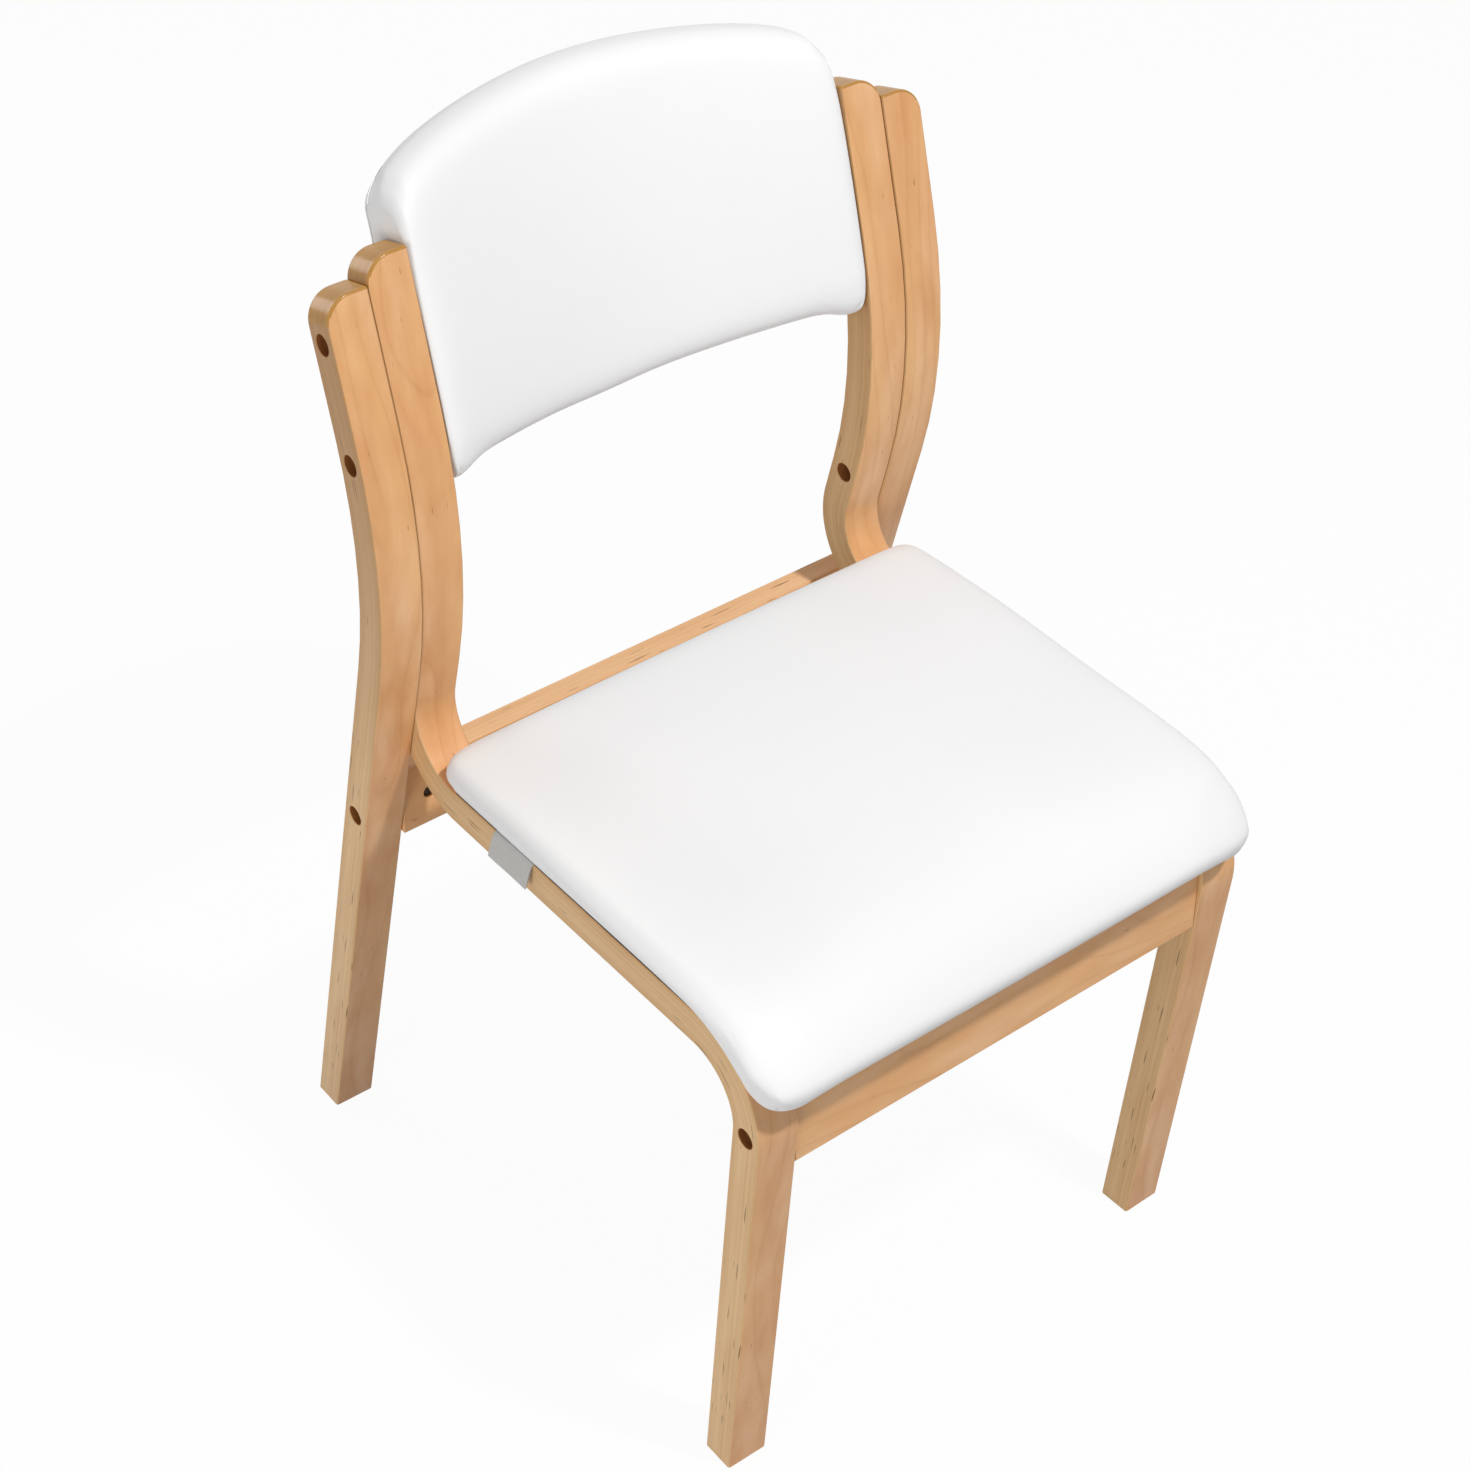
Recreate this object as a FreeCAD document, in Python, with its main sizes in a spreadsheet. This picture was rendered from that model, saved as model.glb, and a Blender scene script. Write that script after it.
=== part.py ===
import FreeCAD, Part
import math
import os
import Sketcher
from FreeCAD import Placement, Rotation, Vector

# Waiting room chair: bent laminated side strips, two cross rails, a padded seat and a padded back.
# Millimetres and degrees. +Z is up, the front faces -Y, and the origin is on the floor under the middle.
# Left and right are as seen when facing the chair.

# A size that follows from others is a formula
DIMS = {
    # Whole chair
    "frame_width": 485.0,        # over the outer strips, half way back
    "toe_in": 0.66,              # each side turns in towards the rear
    # Bent strips
    "strip_width": 33.0,
    "strip_thick": 27.0,
    "edge_bevel": 1.5,           # small bevel on every edge that hands meet
    "post_corner": 20.0,         # rounded outer corner of each post top
    "leg_spread": 480.0,         # front faces of the front and rear feet, on the floor
    "front_lean": 5.8,
    "rear_lean": 15.9,
    "post_lean": 13.9,
    "rail_height": 411.0,        # centre line of the level side rails
    "seat_bend": 54.0,           # centre line radius of the knee and of the bend behind the seat
    "back_bend": 374.0,          # centre line radius of the long bend of the posts
    "upright_rise": 203.0,       # side rail to where the posts stand upright
    "upright_height": "=rail_height + upright_rise",
    "outer_post_rise": 181.0,    # above where the posts stand upright
    "outer_post_top": "=upright_height + outer_post_rise",
    "inner_post_rise": 196.0,
    "inner_post_top": "=upright_height + inner_post_rise",
    "post_step": 1.0,            # inner posts stand this far behind the outer ones
    "foot_trim": 15.0,           # waste below the floor, cut off level
    "nose_past": 56.926,         # nose of the seat in front of the front feet
    "overall_depth": "=nose_past + leg_spread + strip_thick / cos(rear_lean)",
    "rear_foot_run": "=overall_depth - strip_thick / 2 / cos(rear_lean)",
    "heel_fall": "=tan(rear_lean) * (rail_height + seat_bend) + seat_bend / cos(rear_lean)",
    "heel_run": "=rear_foot_run + post_step - heel_fall",    # nose to the bend behind the seat
    # Cross rails
    "board_thick": 20.0,
    "front_rail_height": 69.0,
    "front_bolt_drop": 56.5,     # bolt below the side rail
    "front_bolt_height": "=rail_height - front_bolt_drop",
    "rear_rail_height": 55.5,
    "rear_bolt_drop": 45.5,
    "rear_bolt_height": "=rail_height - rear_bolt_drop",
    "front_dowel_drop": 21.0,    # dowel below its bolt
    "rear_dowel_drop": 17.0,
    # Fasteners
    "bolt_thick": 6.0,
    "bolt_head": 11.5,           # across the corners of heads and nuts
    "bolt_head_thick": 4.0,
    "counterbore": 15.0,
    "counterbore_depth": 14.0,
    "barrel_thick": 10.0,
    "barrel_length": 15.0,
    "barrel_inset": 24.0,        # barrel nut to the end of its rail
    "barrel_bolt_past": 6.0,     # bolt tip past the middle of the barrel nut
    "dowel_thick": 8.0,
    "dowel_in_leg": 12.0,
    "dowel_in_rail": 18.0,
    "nut_length": 14.0,          # long nuts let into the posts
    "joint_bolt_rise": 96.0,     # bolt above the side rail
    "joint_bolt_height": "=rail_height + joint_bolt_rise",
    "fit": 0.15,                 # radial clearance of dowels and nuts
    "bolt_fit": 0.3,             # radial clearance of bolts
    "end_gap": 1.0,              # clearance past the end of a dowel or bolt
    "bolt_short": 1.0,           # bolt tip short of the end of its nut
    "drill_past": 1.0,           # drills start this far outside the wood
    # Seat
    "soft_gap": 0.3,             # between a cover and what it lies on
    "cover_thick": 1.2,
    "panel_thick": 9.0,
    "heel_past": 11.445,         # back of the pad behind the middle of the bend
    "seat_length": "=heel_run + heel_past",
    "seat_over": 3.2,            # pad past the outer faces of the side rails
    "pad_height": 32.0,
    "seat_wadding": 4.9,         # soft layer between foam and vinyl
    "seat_foam": "=pad_height - seat_wadding - panel_thick - cover_thick - 3 * soft_gap",
    "pad_edge": 10.0,            # height where the rounded upper edge starts
    "pad_round": 20.0,           # rounded upper edge
    "pad_front_corner": 34.0,    # corners seen from above
    "pad_back_corner": 17.0,
    "pad_crown": 5.4,
    "pad_fall": 2.7,             # fall of the crown towards the back
    "pad_draw": 4.6,             # lower edge drawn up and in
    "draw_round": 8.0,
    "knee_wrap": 50.0,           # how far the pad follows the knee down
    "nose_run": 107.0,           # nose to where the top levels out
    "nose_lip": 15.0,            # height of the nose above its underside
    "chin_in": 0.48,             # lowest point of the nose, as shares of its depth
    "chin_drop": 0.25,
    "heel_round": 0.72,          # rounded back, as a share of the pad's height
    "heel_tuck": 0.26,           # foot of the back drawn in, likewise
    "hem": 34.0,                 # cover turned under the panel
    "panel_inset": 13.0,         # panel to the sides of the pad
    "panel_back": 22.0,
    "panel_wrap": 44.0,          # how far the panel follows the knee down
    "dust_sheet": 0.6,
    "seat_bolt_front": 70.0,     # bolts behind the front foot
    "bolt_to_heel": 56.429,      # rear bolts in front of the bend behind the seat
    "seat_bolt_rear": "=heel_run - nose_past - bolt_to_heel",
    "seat_counterbore": 12.0,
    "seat_bolt_in": 20.0,        # bolts in from the outer faces of the side rails
    "seat_nut": 6.0,             # height of the nuts let into the panel
    # Back
    "back_lean": 14.8,
    "low_bolt_rise": 72.0,       # above where the posts stand upright
    "back_bolt_low": "=upright_height + low_bolt_rise",
    "high_bolt_rise": 151.0,
    "back_bolt_high": "=upright_height + high_bolt_rise",
    "back_front": 15.0,          # bolt line to the front of the pad, at its ends
    "back_thick": 49.0,
    "back_bow": 450.0,           # radius seen from above
    "back_top": 154.5,           # above the middle of the bolts, along the lean
    "back_bottom": 73.0,
    "back_arch": 532.0,          # radius of the arched top
    "back_corner": 29.5,
    "back_low_corner": 8.0,
    "back_edge": 24.0,           # rounded front edge along the top and bottom
    "back_rear_edge": 20.0,      # rounded rear edge along the top and bottom
    "back_end_round": 12.0,      # rounded front edge along the ends
    "back_rear_end_round": 4.0,
    "back_crown": 4.0,
    "back_gap": 0.3,             # pad to post
    "bow_gap": 0.8,              # panel to the cover behind it
    "back_hem": 27.0,            # cover turned over the rear of the panel
    "back_panel_inset": 17.0,    # panel to the top and bottom of the pad
    "back_wadding": 11.4,        # soft layer between foam and vinyl
    "back_rear_skin": "=cover_thick + soft_gap + bow_gap",
    "back_foam": "=back_thick - back_wadding - back_rear_skin - panel_thick - soft_gap",
    "back_panel_end": 4.5,       # panel to the ends of the pad
    "cleat_width": 15.0,
    "cleat_front": 7.4,          # bolt line to the front of the cleat
    "cleat_low": 48.0,           # below the middle of the bolts
    "cleat_high": 66.0,
    "cleat_nut": 12.0,           # length of the nuts in the cleats
    # Tag
    "tag_width": 47.0,
    "tag_drop": 30.0,
    "tag_thick": 1.0,
    "tag_flap": 1.5,             # turned in under the pad
    "tag_flap_thick": 0.4,
    "tag_clear": 0.1,
    "tag_to_heel": 71.429,       # middle of the tag in front of the bend behind the seat
    "tag_place": "=heel_run - nose_past - tag_to_heel",
}

SIDES = {"left": -1, "right": 1}
HIDDEN_SIDES = 12     # bars and bores that nobody sees are twelve-sided
HEX = 6
ROUND = 0

doc = FreeCAD.newDocument("WaitingRoomChair")
sheet = doc.addObject("Spreadsheet::Sheet", "Dims")
for row, (name, content) in enumerate(DIMS.items(), 1):
    sheet.set(f"A{row}", name)
    sheet.set(f"B{row}", str(content))
    sheet.setAlias(f"B{row}", name)
doc.recompute()

# Formulas that several pieces share
HALF_DEPTH = "Dims.overall_depth / 2"
CONTACT = "(Dims.frame_width / 2 - Dims.strip_width)"
REAR_FOOT = "(Dims.overall_depth / 2 - Dims.strip_thick / 2 / cos(Dims.rear_lean))"
FRONT_FACE = "(Dims.overall_depth / 2 - Dims.strip_thick / cos(Dims.rear_lean) - Dims.leg_spread)"
FRONT_FOOT = f"({FRONT_FACE} + Dims.strip_thick / 2 / cos(Dims.front_lean))"
UPRIGHT_Y = (f"({REAR_FOOT} - tan(Dims.rear_lean) * Dims.upright_height"
             " + Dims.back_bend / cos(Dims.rear_lean))")
KNEE_Z = "(Dims.rail_height - Dims.seat_bend)"
KNEE_Y = f"({FRONT_FOOT} - tan(Dims.front_lean) * {KNEE_Z} + Dims.seat_bend / cos(Dims.front_lean))"
HEEL_Z = "(Dims.rail_height + Dims.seat_bend)"
HEEL_Y = f"({REAR_FOOT} + Dims.post_step - Dims.heel_fall)"
RAIL_TOP = "(Dims.rail_height + Dims.strip_thick / 2)"
RAIL_BOTTOM = "(Dims.rail_height - Dims.strip_thick / 2)"
SEAT_BOLT_HEAD = f"({RAIL_BOTTOM} + Dims.seat_counterbore)"
PAST = "Dims.drill_past"


def value(formula):
    """Number that a formula of sheet cells gives."""
    result = sheet.evalExpression(formula)
    return float(getattr(result, "Value", result))


def post_line(height):
    """Formula for the middle of an outer post at a height above the long bend."""
    return (f"({UPRIGHT_Y} - Dims.back_bend / cos(Dims.post_lean)"
            f" + tan(Dims.post_lean) * (({height}) - Dims.upright_height))")


def bend_line(height):
    """Formula for the middle of an outer post at a height within the long bend."""
    return f"({UPRIGHT_Y} - sqrt(Dims.back_bend ^ 2 - (({height}) - Dims.upright_height) ^ 2))"


def leg_line(height):
    """Formula for the middle of a rear leg at a height below the long bend."""
    return f"({REAR_FOOT} - tan(Dims.rear_lean) * ({height}))"


def front_leg_line(height):
    """Formula for the middle of a front leg at a height below the knee."""
    return f"({FRONT_FOOT} - tan(Dims.front_lean) * ({height}))"


def side_face(out, y):
    """Formula for the X of a right-hand plane, out from the joint of the strips, at a depth y."""
    return f"({CONTACT} + (({out}) - ({y}) * sin(Dims.toe_in)) / cos(Dims.toe_in))"


def on_side(side, x="0", y="0", z="0", turn=""):
    """Placement formula in the frame of one side, whose X = 0 is the joint of its two strips."""
    frame = f"placement(vector({side} * {CONTACT}; 0; 0); rotation(vector(0; 0; 1); {side} * Dims.toe_in))"
    local = turn or "rotation(vector(0; 0; 1); 0)"
    return f"{frame} * placement(vector({x}; {y}; {z}); {local})"


# Sketch helpers

def sketch_on(body, role, name, offset=""):
    """Sketch on one of the body's own origin planes, moved by a placement formula."""
    sketch = body.newObject("Sketcher::SketchObject", name)
    plane = next(item for item in body.Origin.OriginFeatures if item.Role == role)
    sketch.AttachmentSupport = [(plane, "")]
    sketch.MapMode = "FlatFace"
    if offset:
        sketch.setExpression("AttachmentOffset", offset)
    return sketch


def bind(sketch, constraint, formula):
    """Add a dimension and tie it to a formula."""
    index = sketch.addConstraint(constraint)
    sketch.setExpression(f"Constraints[{index}]", formula)


def pin(sketch, geometry, point, x, y):
    """Hold a point at two formulas measured from the sketch origin."""
    bind(sketch, Sketcher.Constraint("DistanceX", -1, 1, geometry, point, value(x)), x)
    bind(sketch, Sketcher.Constraint("DistanceY", -1, 1, geometry, point, value(y)), y)


def polygon(sketch, corners):
    """Closed outline of straight lines through pinned corners."""
    points = [Vector(value(x), value(y), 0) for x, y in corners]
    count = len(points)
    for i in range(count):
        sketch.addGeometry(Part.LineSegment(points[i], points[(i + 1) % count]), False)
    for i in range(count):
        sketch.addConstraint(Sketcher.Constraint("Coincident", i, 2, (i + 1) % count, 1))
    for i, (x, y) in enumerate(corners):
        pin(sketch, i, 1, x, y)


def rectangle(sketch, left, right, low, high):
    polygon(sketch, [(left, low), (right, low), (right, high), (left, high)])


def bent_path(sketch, start, bends, end):
    """Straight runs joined by tangent arcs, each (centre x, centre y, radius, turn), turn +1 to the left.
    Gives the first and the last run."""
    stops = [(*start, "0", 1), *bends, (*end, "0", 1)]
    rounds = [(Vector(value(x), value(y), 0), turn * value(radius)) for x, y, radius, turn in stops]
    runs = []
    for (centre, reach), (next_centre, next_reach) in zip(rounds, rounds[1:]):
        gap = next_centre - centre
        heading = math.atan2(gap.y, gap.x) - math.asin((next_reach - reach) / gap.Length)
        left = Vector(-math.sin(heading), math.cos(heading), 0)
        runs.append((centre - left * reach, next_centre - left * next_reach))
    lines = [sketch.addGeometry(Part.LineSegment(a, b), False) for a, b in runs]
    for i, (x, y, radius, turn) in enumerate(bends):
        centre = rounds[i + 1][0]
        arrive = runs[i][1] - centre
        leave = runs[i + 1][0] - centre
        first, last = (arrive, leave) if turn > 0 else (leave, arrive)
        ring = Part.Circle(centre, Vector(0, 0, 1), value(radius))
        angles = [math.atan2(v.y, v.x) for v in (first, last)]
        arc = sketch.addGeometry(Part.ArcOfCircle(ring, *angles), False)
        inlet, outlet = (1, 2) if turn > 0 else (2, 1)
        sketch.addConstraint(Sketcher.Constraint("Tangent", lines[i], 2, arc, inlet))
        sketch.addConstraint(Sketcher.Constraint("Tangent", lines[i + 1], 1, arc, outlet))
        bind(sketch, Sketcher.Constraint("Radius", arc, value(radius)), radius)
        pin(sketch, arc, 3, x, y)
    pin(sketch, lines[0], 1, *start)
    pin(sketch, lines[-1], 2, *end)
    return lines[0], lines[-1]


def bent_band(sketch, start, bends, end, thick, headings):
    """Closed outline of even thickness about a bent path that starts and ends with the given headings."""
    flanks = []
    for hand in (1, -1):
        offset = f"{hand} * ({thick}) / 2"
        first, last = ((f"{x} - {offset} * sin({heading})", f"{y} + {offset} * cos({heading})")
                       for (x, y), heading in zip((start, end), headings))
        arcs = [(x, y, f"({radius} - {turn} * {offset})", turn) for x, y, radius, turn in bends]
        flanks.append((bent_path(sketch, first, arcs, last), first, last))
    (left, left_first, left_last), (right, right_first, right_last) = flanks
    for point, a, b in ((1, left_first, right_first), (2, left_last, right_last)):
        ends = [Vector(value(x), value(y), 0) for x, y in (a, b)]
        cap = sketch.addGeometry(Part.LineSegment(*ends), False)
        sketch.addConstraint(Sketcher.Constraint("Coincident", cap, 1, left[point - 1], point))
        sketch.addConstraint(Sketcher.Constraint("Coincident", cap, 2, right[point - 1], point))


# Feature helpers

def new_body(label, placement=""):
    body = doc.addObject("PartDesign::Body", label)
    body.Label = label
    if placement:
        body.setExpression("Placement", placement)
    return body


def pad(body, sketch, length, both_ways=False):
    feature = body.newObject("PartDesign::Pad", "Pad")
    feature.Profile = sketch
    feature.setExpression("Length", length)
    if both_ways:
        feature.SideType = "Symmetric"
    doc.recompute()
    return feature


def pocket(body, sketch, length="", towards_normal=False):
    """Cut away from the sketch's normal, or along it, to a depth or right through."""
    before = body.Shape.Volume
    feature = body.newObject("PartDesign::Pocket", "Pocket")
    feature.Profile = sketch
    feature.Reversed = towards_normal
    if length:
        feature.setExpression("Length", length)
    else:
        feature.Type = "ThroughAll"
    doc.recompute()
    if body.Shape.Volume >= before:
        raise RuntimeError(f"{body.Label}: a pocket cut nothing")
    return feature


def is_sharp(shape, edge):
    """True where the two faces beside an edge meet at an angle."""
    faces = shape.ancestorsOfType(edge, Part.Face)
    middle = edge.valueAt((edge.FirstParameter + edge.LastParameter) / 2)
    normals = [face.normalAt(*face.Surface.parameter(middle)) for face in faces]
    return len(normals) == 2 and abs(normals[0].dot(normals[1])) < 0.95


def soften(body, kind, size, formula, wanted):
    """Fillet or bevel the sharp edges of the body's tip that the test picks."""
    base = body.Tip
    shape = base.Shape
    names = [f"Edge{i}" for i, edge in enumerate(shape.Edges, 1) if is_sharp(shape, edge) and wanted(edge)]
    feature = body.newObject(f"PartDesign::{kind}", kind)
    feature.Base = (base, names)
    feature.setExpression(size, formula)
    doc.recompute()
    return feature


def fillet(body, radius, wanted):
    return soften(body, "Fillet", "Radius", radius, wanted)


def bevel(body, size, wanted):
    return soften(body, "Chamfer", "Size", size, wanted)


def rod(name, side, inner, outer, y, z, diameter, sides=HIDDEN_SIDES):
    """Bar across one side, between two distances out from the joint of its strips. No sides means round."""
    bar = doc.addObject("Part::Prism" if sides else "Part::Cylinder", name)
    bar.setExpression("Circumradius" if sides else "Radius", f"({diameter}) / 2")
    bar.setExpression("Height", f"({outer}) - ({inner})")
    if sides:
        bar.Polygon = sides
    first = inner if side > 0 else f"-({outer})"
    bar.setExpression("Placement", on_side(side, first, y, z, "rotation(vector(0; 1; 0); 90)"))
    return bar


def peg(name, side, out, y, low, high, diameter, sides=HIDDEN_SIDES):
    """Upright bar in the frame of one side. No sides means round."""
    bar = doc.addObject("Part::Prism" if sides else "Part::Cylinder", name)
    bar.setExpression("Circumradius" if sides else "Radius", f"({diameter}) / 2")
    bar.setExpression("Height", f"({high}) - ({low})")
    if sides:
        bar.Polygon = sides
    bar.setExpression("Placement", on_side(side, f"{side} * ({out})", y, low))
    return bar


def barrel(name, side, out, y_from, y_to, z, diameter):
    """Round bar that lies front to back in the frame of one side."""
    cylinder = doc.addObject("Part::Cylinder", name)
    cylinder.setExpression("Radius", f"({diameter}) / 2")
    cylinder.setExpression("Height", f"({y_to}) - ({y_from})")
    turn = "rotation(vector(1; 0; 0); -90)"
    cylinder.setExpression("Placement", on_side(side, f"{side} * ({out})", y_from, z, turn))
    return cylinder


def fuse(name, shapes):
    joined = doc.addObject("Part::MultiFuse", name)
    joined.Shapes = shapes
    return joined


def cut(name, base, tools):
    """Base less every tool."""
    result = doc.addObject("Part::Cut", name)
    result.Label = name
    result.Base = base
    result.Tool = tools[0] if len(tools) == 1 else fuse(f"{name}_tools", tools)
    return result


def common(name, shapes):
    result = doc.addObject("Part::MultiCommon", name)
    result.Label = name
    result.Shapes = shapes
    return result


def group(label, members):
    """One node of separate alike pieces."""
    compound = doc.addObject("Part::Compound", label)
    compound.Label = label
    compound.Links = members
    return compound


def bolt(name, side, seat, tip, y, z, inwards=True):
    """Six-sided bolt across a side, with its head against the seat."""
    thick = "Dims.bolt_head_thick"
    if inwards:
        head = rod(f"{name}_head", side, seat, f"{seat} + {thick}", y, z, "Dims.bolt_head", HEX)
        shank = rod(f"{name}_shank", side, tip, seat, y, z, "Dims.bolt_thick")
    else:
        head = rod(f"{name}_head", side, f"{seat} - {thick}", seat, y, z, "Dims.bolt_head", HEX)
        shank = rod(f"{name}_shank", side, seat, tip, y, z, "Dims.bolt_thick")
    return fuse(name, [head, shank])


# Bolt lines, in the frame of a side
BACK_BOLTS = {
    "low": (bend_line("Dims.back_bolt_low"), "Dims.back_bolt_low"),
    "high": (post_line("Dims.back_bolt_high"), "Dims.back_bolt_high"),
}
JOINT_BOLT = (leg_line("Dims.joint_bolt_height"), "Dims.joint_bolt_height")
REAR_BOLT = (leg_line("Dims.rear_bolt_height"), "Dims.rear_bolt_height")
FRONT_BOLT = (front_leg_line("Dims.front_bolt_height"), "Dims.front_bolt_height")
CLEARANCE = "Dims.bolt_thick + 2 * Dims.bolt_fit"
DOWEL_HOLE = "Dims.dowel_thick + 2 * Dims.fit"
NUT_HOLE = "Dims.bolt_head + 2 * Dims.fit"
THREAD_HOLE = "Dims.bolt_thick + 2 * Dims.fit"
BARREL_HOLE = "Dims.barrel_thick + 2 * Dims.fit"
SEAT_BOLTS = {
    "front": f"({FRONT_FACE} + Dims.seat_bolt_front)",
    "rear": f"({FRONT_FACE} + Dims.seat_bolt_rear)",
}
DOWELS = {
    "front": (FRONT_BOLT[0], "(Dims.front_bolt_height - Dims.front_dowel_drop)"),
    "rear": (REAR_BOLT[0], "(Dims.rear_bolt_height - Dims.rear_dowel_drop)"),
}


# Bent strips

def strip_blank(label, side, outwards, start, bends, end, headings):
    """Bent band of even thickness, cut level at the floor and softened on its edges."""
    body = new_body(f"{label}_blank", on_side(side))
    profile = sketch_on(body, "YZ_Plane", "Profile")
    bent_band(profile, start, bends, end, "Dims.strip_thick", headings)
    width = pad(body, profile, "Dims.strip_width")
    width.Reversed = outwards < 0
    floor = sketch_on(body, "XY_Plane", "Floor")
    rectangle(floor, "-2 * Dims.strip_width", "2 * Dims.strip_width",
              "-Dims.overall_depth", "Dims.overall_depth")
    pocket(body, floor)
    round_strip(body, max(0, side * outwards) * side * value("Dims.strip_width"))
    return body


def round_strip(body, outer_face):
    """Round the outer corner of the post top, then every edge that hands meet."""
    top = body.Shape.BoundBox.ZMax
    near_top = top - value("Dims.strip_thick")

    def at_outer_corner(edge):
        ends = [vertex.Point for vertex in edge.Vertexes]
        return all(abs(p.x - outer_face) < 0.1 and p.z > near_top for p in ends) and edge.Length < 30

    def above_floor(edge):
        return all(vertex.Z > 0.1 for vertex in edge.Vertexes) or edge.BoundBox.ZLength > 1

    # The body's own shape is moved with the side, so edges are picked on the tip's unmoved shape
    fillet(body, "Dims.post_corner", at_outer_corner)
    bevel(body, "Dims.edge_bevel", above_floor)


def rear_leg_post(label, side):
    """Outer strip: rear leg and back post in one."""
    start = (leg_line("-Dims.foot_trim"), "-Dims.foot_trim")
    bends = [(UPRIGHT_Y, "Dims.upright_height", "Dims.back_bend", -1)]
    end = (post_line("Dims.outer_post_top"), "Dims.outer_post_top")
    headings = ("90 + Dims.rear_lean", "90 - Dims.post_lean")
    body = strip_blank(label, side, side, start, bends, end, headings)
    seat = "(Dims.strip_width - Dims.counterbore_depth)"
    holes = []
    for i, bolt_line in enumerate([*BACK_BOLTS.values(), REAR_BOLT]):
        holes.append(rod(f"{label}_sink_{i}", side, seat, f"Dims.strip_width + {PAST}", *bolt_line,
                         "Dims.counterbore", ROUND))
        holes.append(rod(f"{label}_bore_{i}", side, f"-{PAST}", f"{seat} + {PAST}", *bolt_line, CLEARANCE))
    holes.append(rod(f"{label}_dowel_hole", side, f"-{PAST}", "Dims.dowel_in_leg + Dims.end_gap",
                     *DOWELS["rear"], DOWEL_HOLE))
    holes.append(rod(f"{label}_nut_hole", side, f"-{PAST}", "Dims.nut_length + Dims.end_gap",
                     *JOINT_BOLT, NUT_HOLE, HEX))
    return cut(label, body, holes)


def front_leg_rail(label, side):
    """Inner strip: front leg, seat rail and inner back post in one."""
    start = (front_leg_line("-Dims.foot_trim"), "-Dims.foot_trim")
    bends = [(KNEE_Y, KNEE_Z, "Dims.seat_bend", -1),
             (HEEL_Y, HEEL_Z, "Dims.seat_bend", 1),
             (f"{UPRIGHT_Y} + Dims.post_step", "Dims.upright_height", "Dims.back_bend", -1)]
    end = (f"{post_line('Dims.inner_post_top')} + Dims.post_step", "Dims.inner_post_top")
    headings = ("90 + Dims.front_lean", "90 - Dims.post_lean")
    body = strip_blank(label, side, -side, start, bends, end, headings)
    inner = "(-Dims.strip_width)"
    sunk = "Dims.counterbore_depth"
    holes = [
        rod(f"{label}_front_sink", side, f"-{sunk}", PAST, *FRONT_BOLT, "Dims.counterbore", ROUND),
        rod(f"{label}_front_bore", side, f"{inner} - {PAST}", f"{PAST} - {sunk}", *FRONT_BOLT, CLEARANCE),
        rod(f"{label}_joint_sink", side, f"{inner} - {PAST}", f"{inner} + {sunk}", *JOINT_BOLT,
            "Dims.counterbore", ROUND),
        rod(f"{label}_joint_bore", side, f"{inner} + {sunk} - {PAST}", PAST, *JOINT_BOLT, CLEARANCE),
        rod(f"{label}_dowel_hole", side, f"{inner} - {PAST}", f"{inner} + Dims.dowel_in_leg + Dims.end_gap",
            *DOWELS["front"], DOWEL_HOLE),
    ]
    for place, bolt_line in BACK_BOLTS.items():
        holes.append(rod(f"{label}_{place}_bore", side, f"{inner} - {PAST}", PAST, *bolt_line, CLEARANCE))
    out = "-Dims.seat_bolt_in"
    for place, y in SEAT_BOLTS.items():
        holes.append(peg(f"{label}_{place}_sink", side, out, y, f"{RAIL_BOTTOM} - {PAST}", SEAT_BOLT_HEAD,
                         "Dims.counterbore", ROUND))
        holes.append(peg(f"{label}_{place}_bore", side, out, y, f"{SEAT_BOLT_HEAD} - {PAST}",
                         f"{RAIL_TOP} + {PAST}", CLEARANCE))
    return cut(label, body, holes)


# Cross rails

def rail_board(name, bolt_line, height, out):
    """Board on edge between two faces of the sides, with ends cut to the toe-in."""
    middle, bolt_height = bolt_line
    low = f"vector(0; 0; {bolt_height} - {height} / 2)"
    body = new_body(name, f"placement({low}; rotation(vector(0; 0; 1); 0))")
    front = f"({middle} - Dims.board_thick / 2)"
    rear = f"({middle} + Dims.board_thick / 2)"
    plan = sketch_on(body, "XY_Plane", "Plan")
    polygon(plan, [(f"-{side_face(out, front)}", front), (side_face(out, front), front),
                   (side_face(out, rear), rear), (f"-{side_face(out, rear)}", rear)])
    pad(body, plan, height)
    bevel(body, "Dims.edge_bevel", lambda edge: edge.BoundBox.XLength > value("Dims.frame_width / 2"))
    return body


def rail_holes(name, bolt_line, dowel_line, out, nut_from):
    """Drills for the bolt, its barrel nut and the dowel at each end. The nut enters from one face."""
    y, z = bolt_line
    half_nut = "Dims.barrel_length / 2"
    reach = "Dims.board_thick"
    if nut_from == "front":
        ends = (f"{y} - {reach}", f"{y} + {half_nut}")
    else:
        ends = (f"{y} - {half_nut}", f"{y} + {reach}")
    nut_out = f"({out} - Dims.barrel_inset)"
    bolt_end = f"({nut_out} - Dims.barrel_bolt_past - Dims.end_gap)"
    dowel_end = f"({out} - Dims.dowel_in_rail - Dims.end_gap)"
    tools = []
    for word, side in SIDES.items():
        start = f"{out} + Dims.end_gap"
        tools.append(rod(f"{name}_{word}_bolt_hole", side, bolt_end, start, y, z, CLEARANCE))
        tools.append(rod(f"{name}_{word}_dowel_hole", side, dowel_end, start, *dowel_line, DOWEL_HOLE))
        tools.append(barrel(f"{name}_{word}_nut_hole", side, nut_out, *ends, z, BARREL_HOLE))
    return tools


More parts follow.
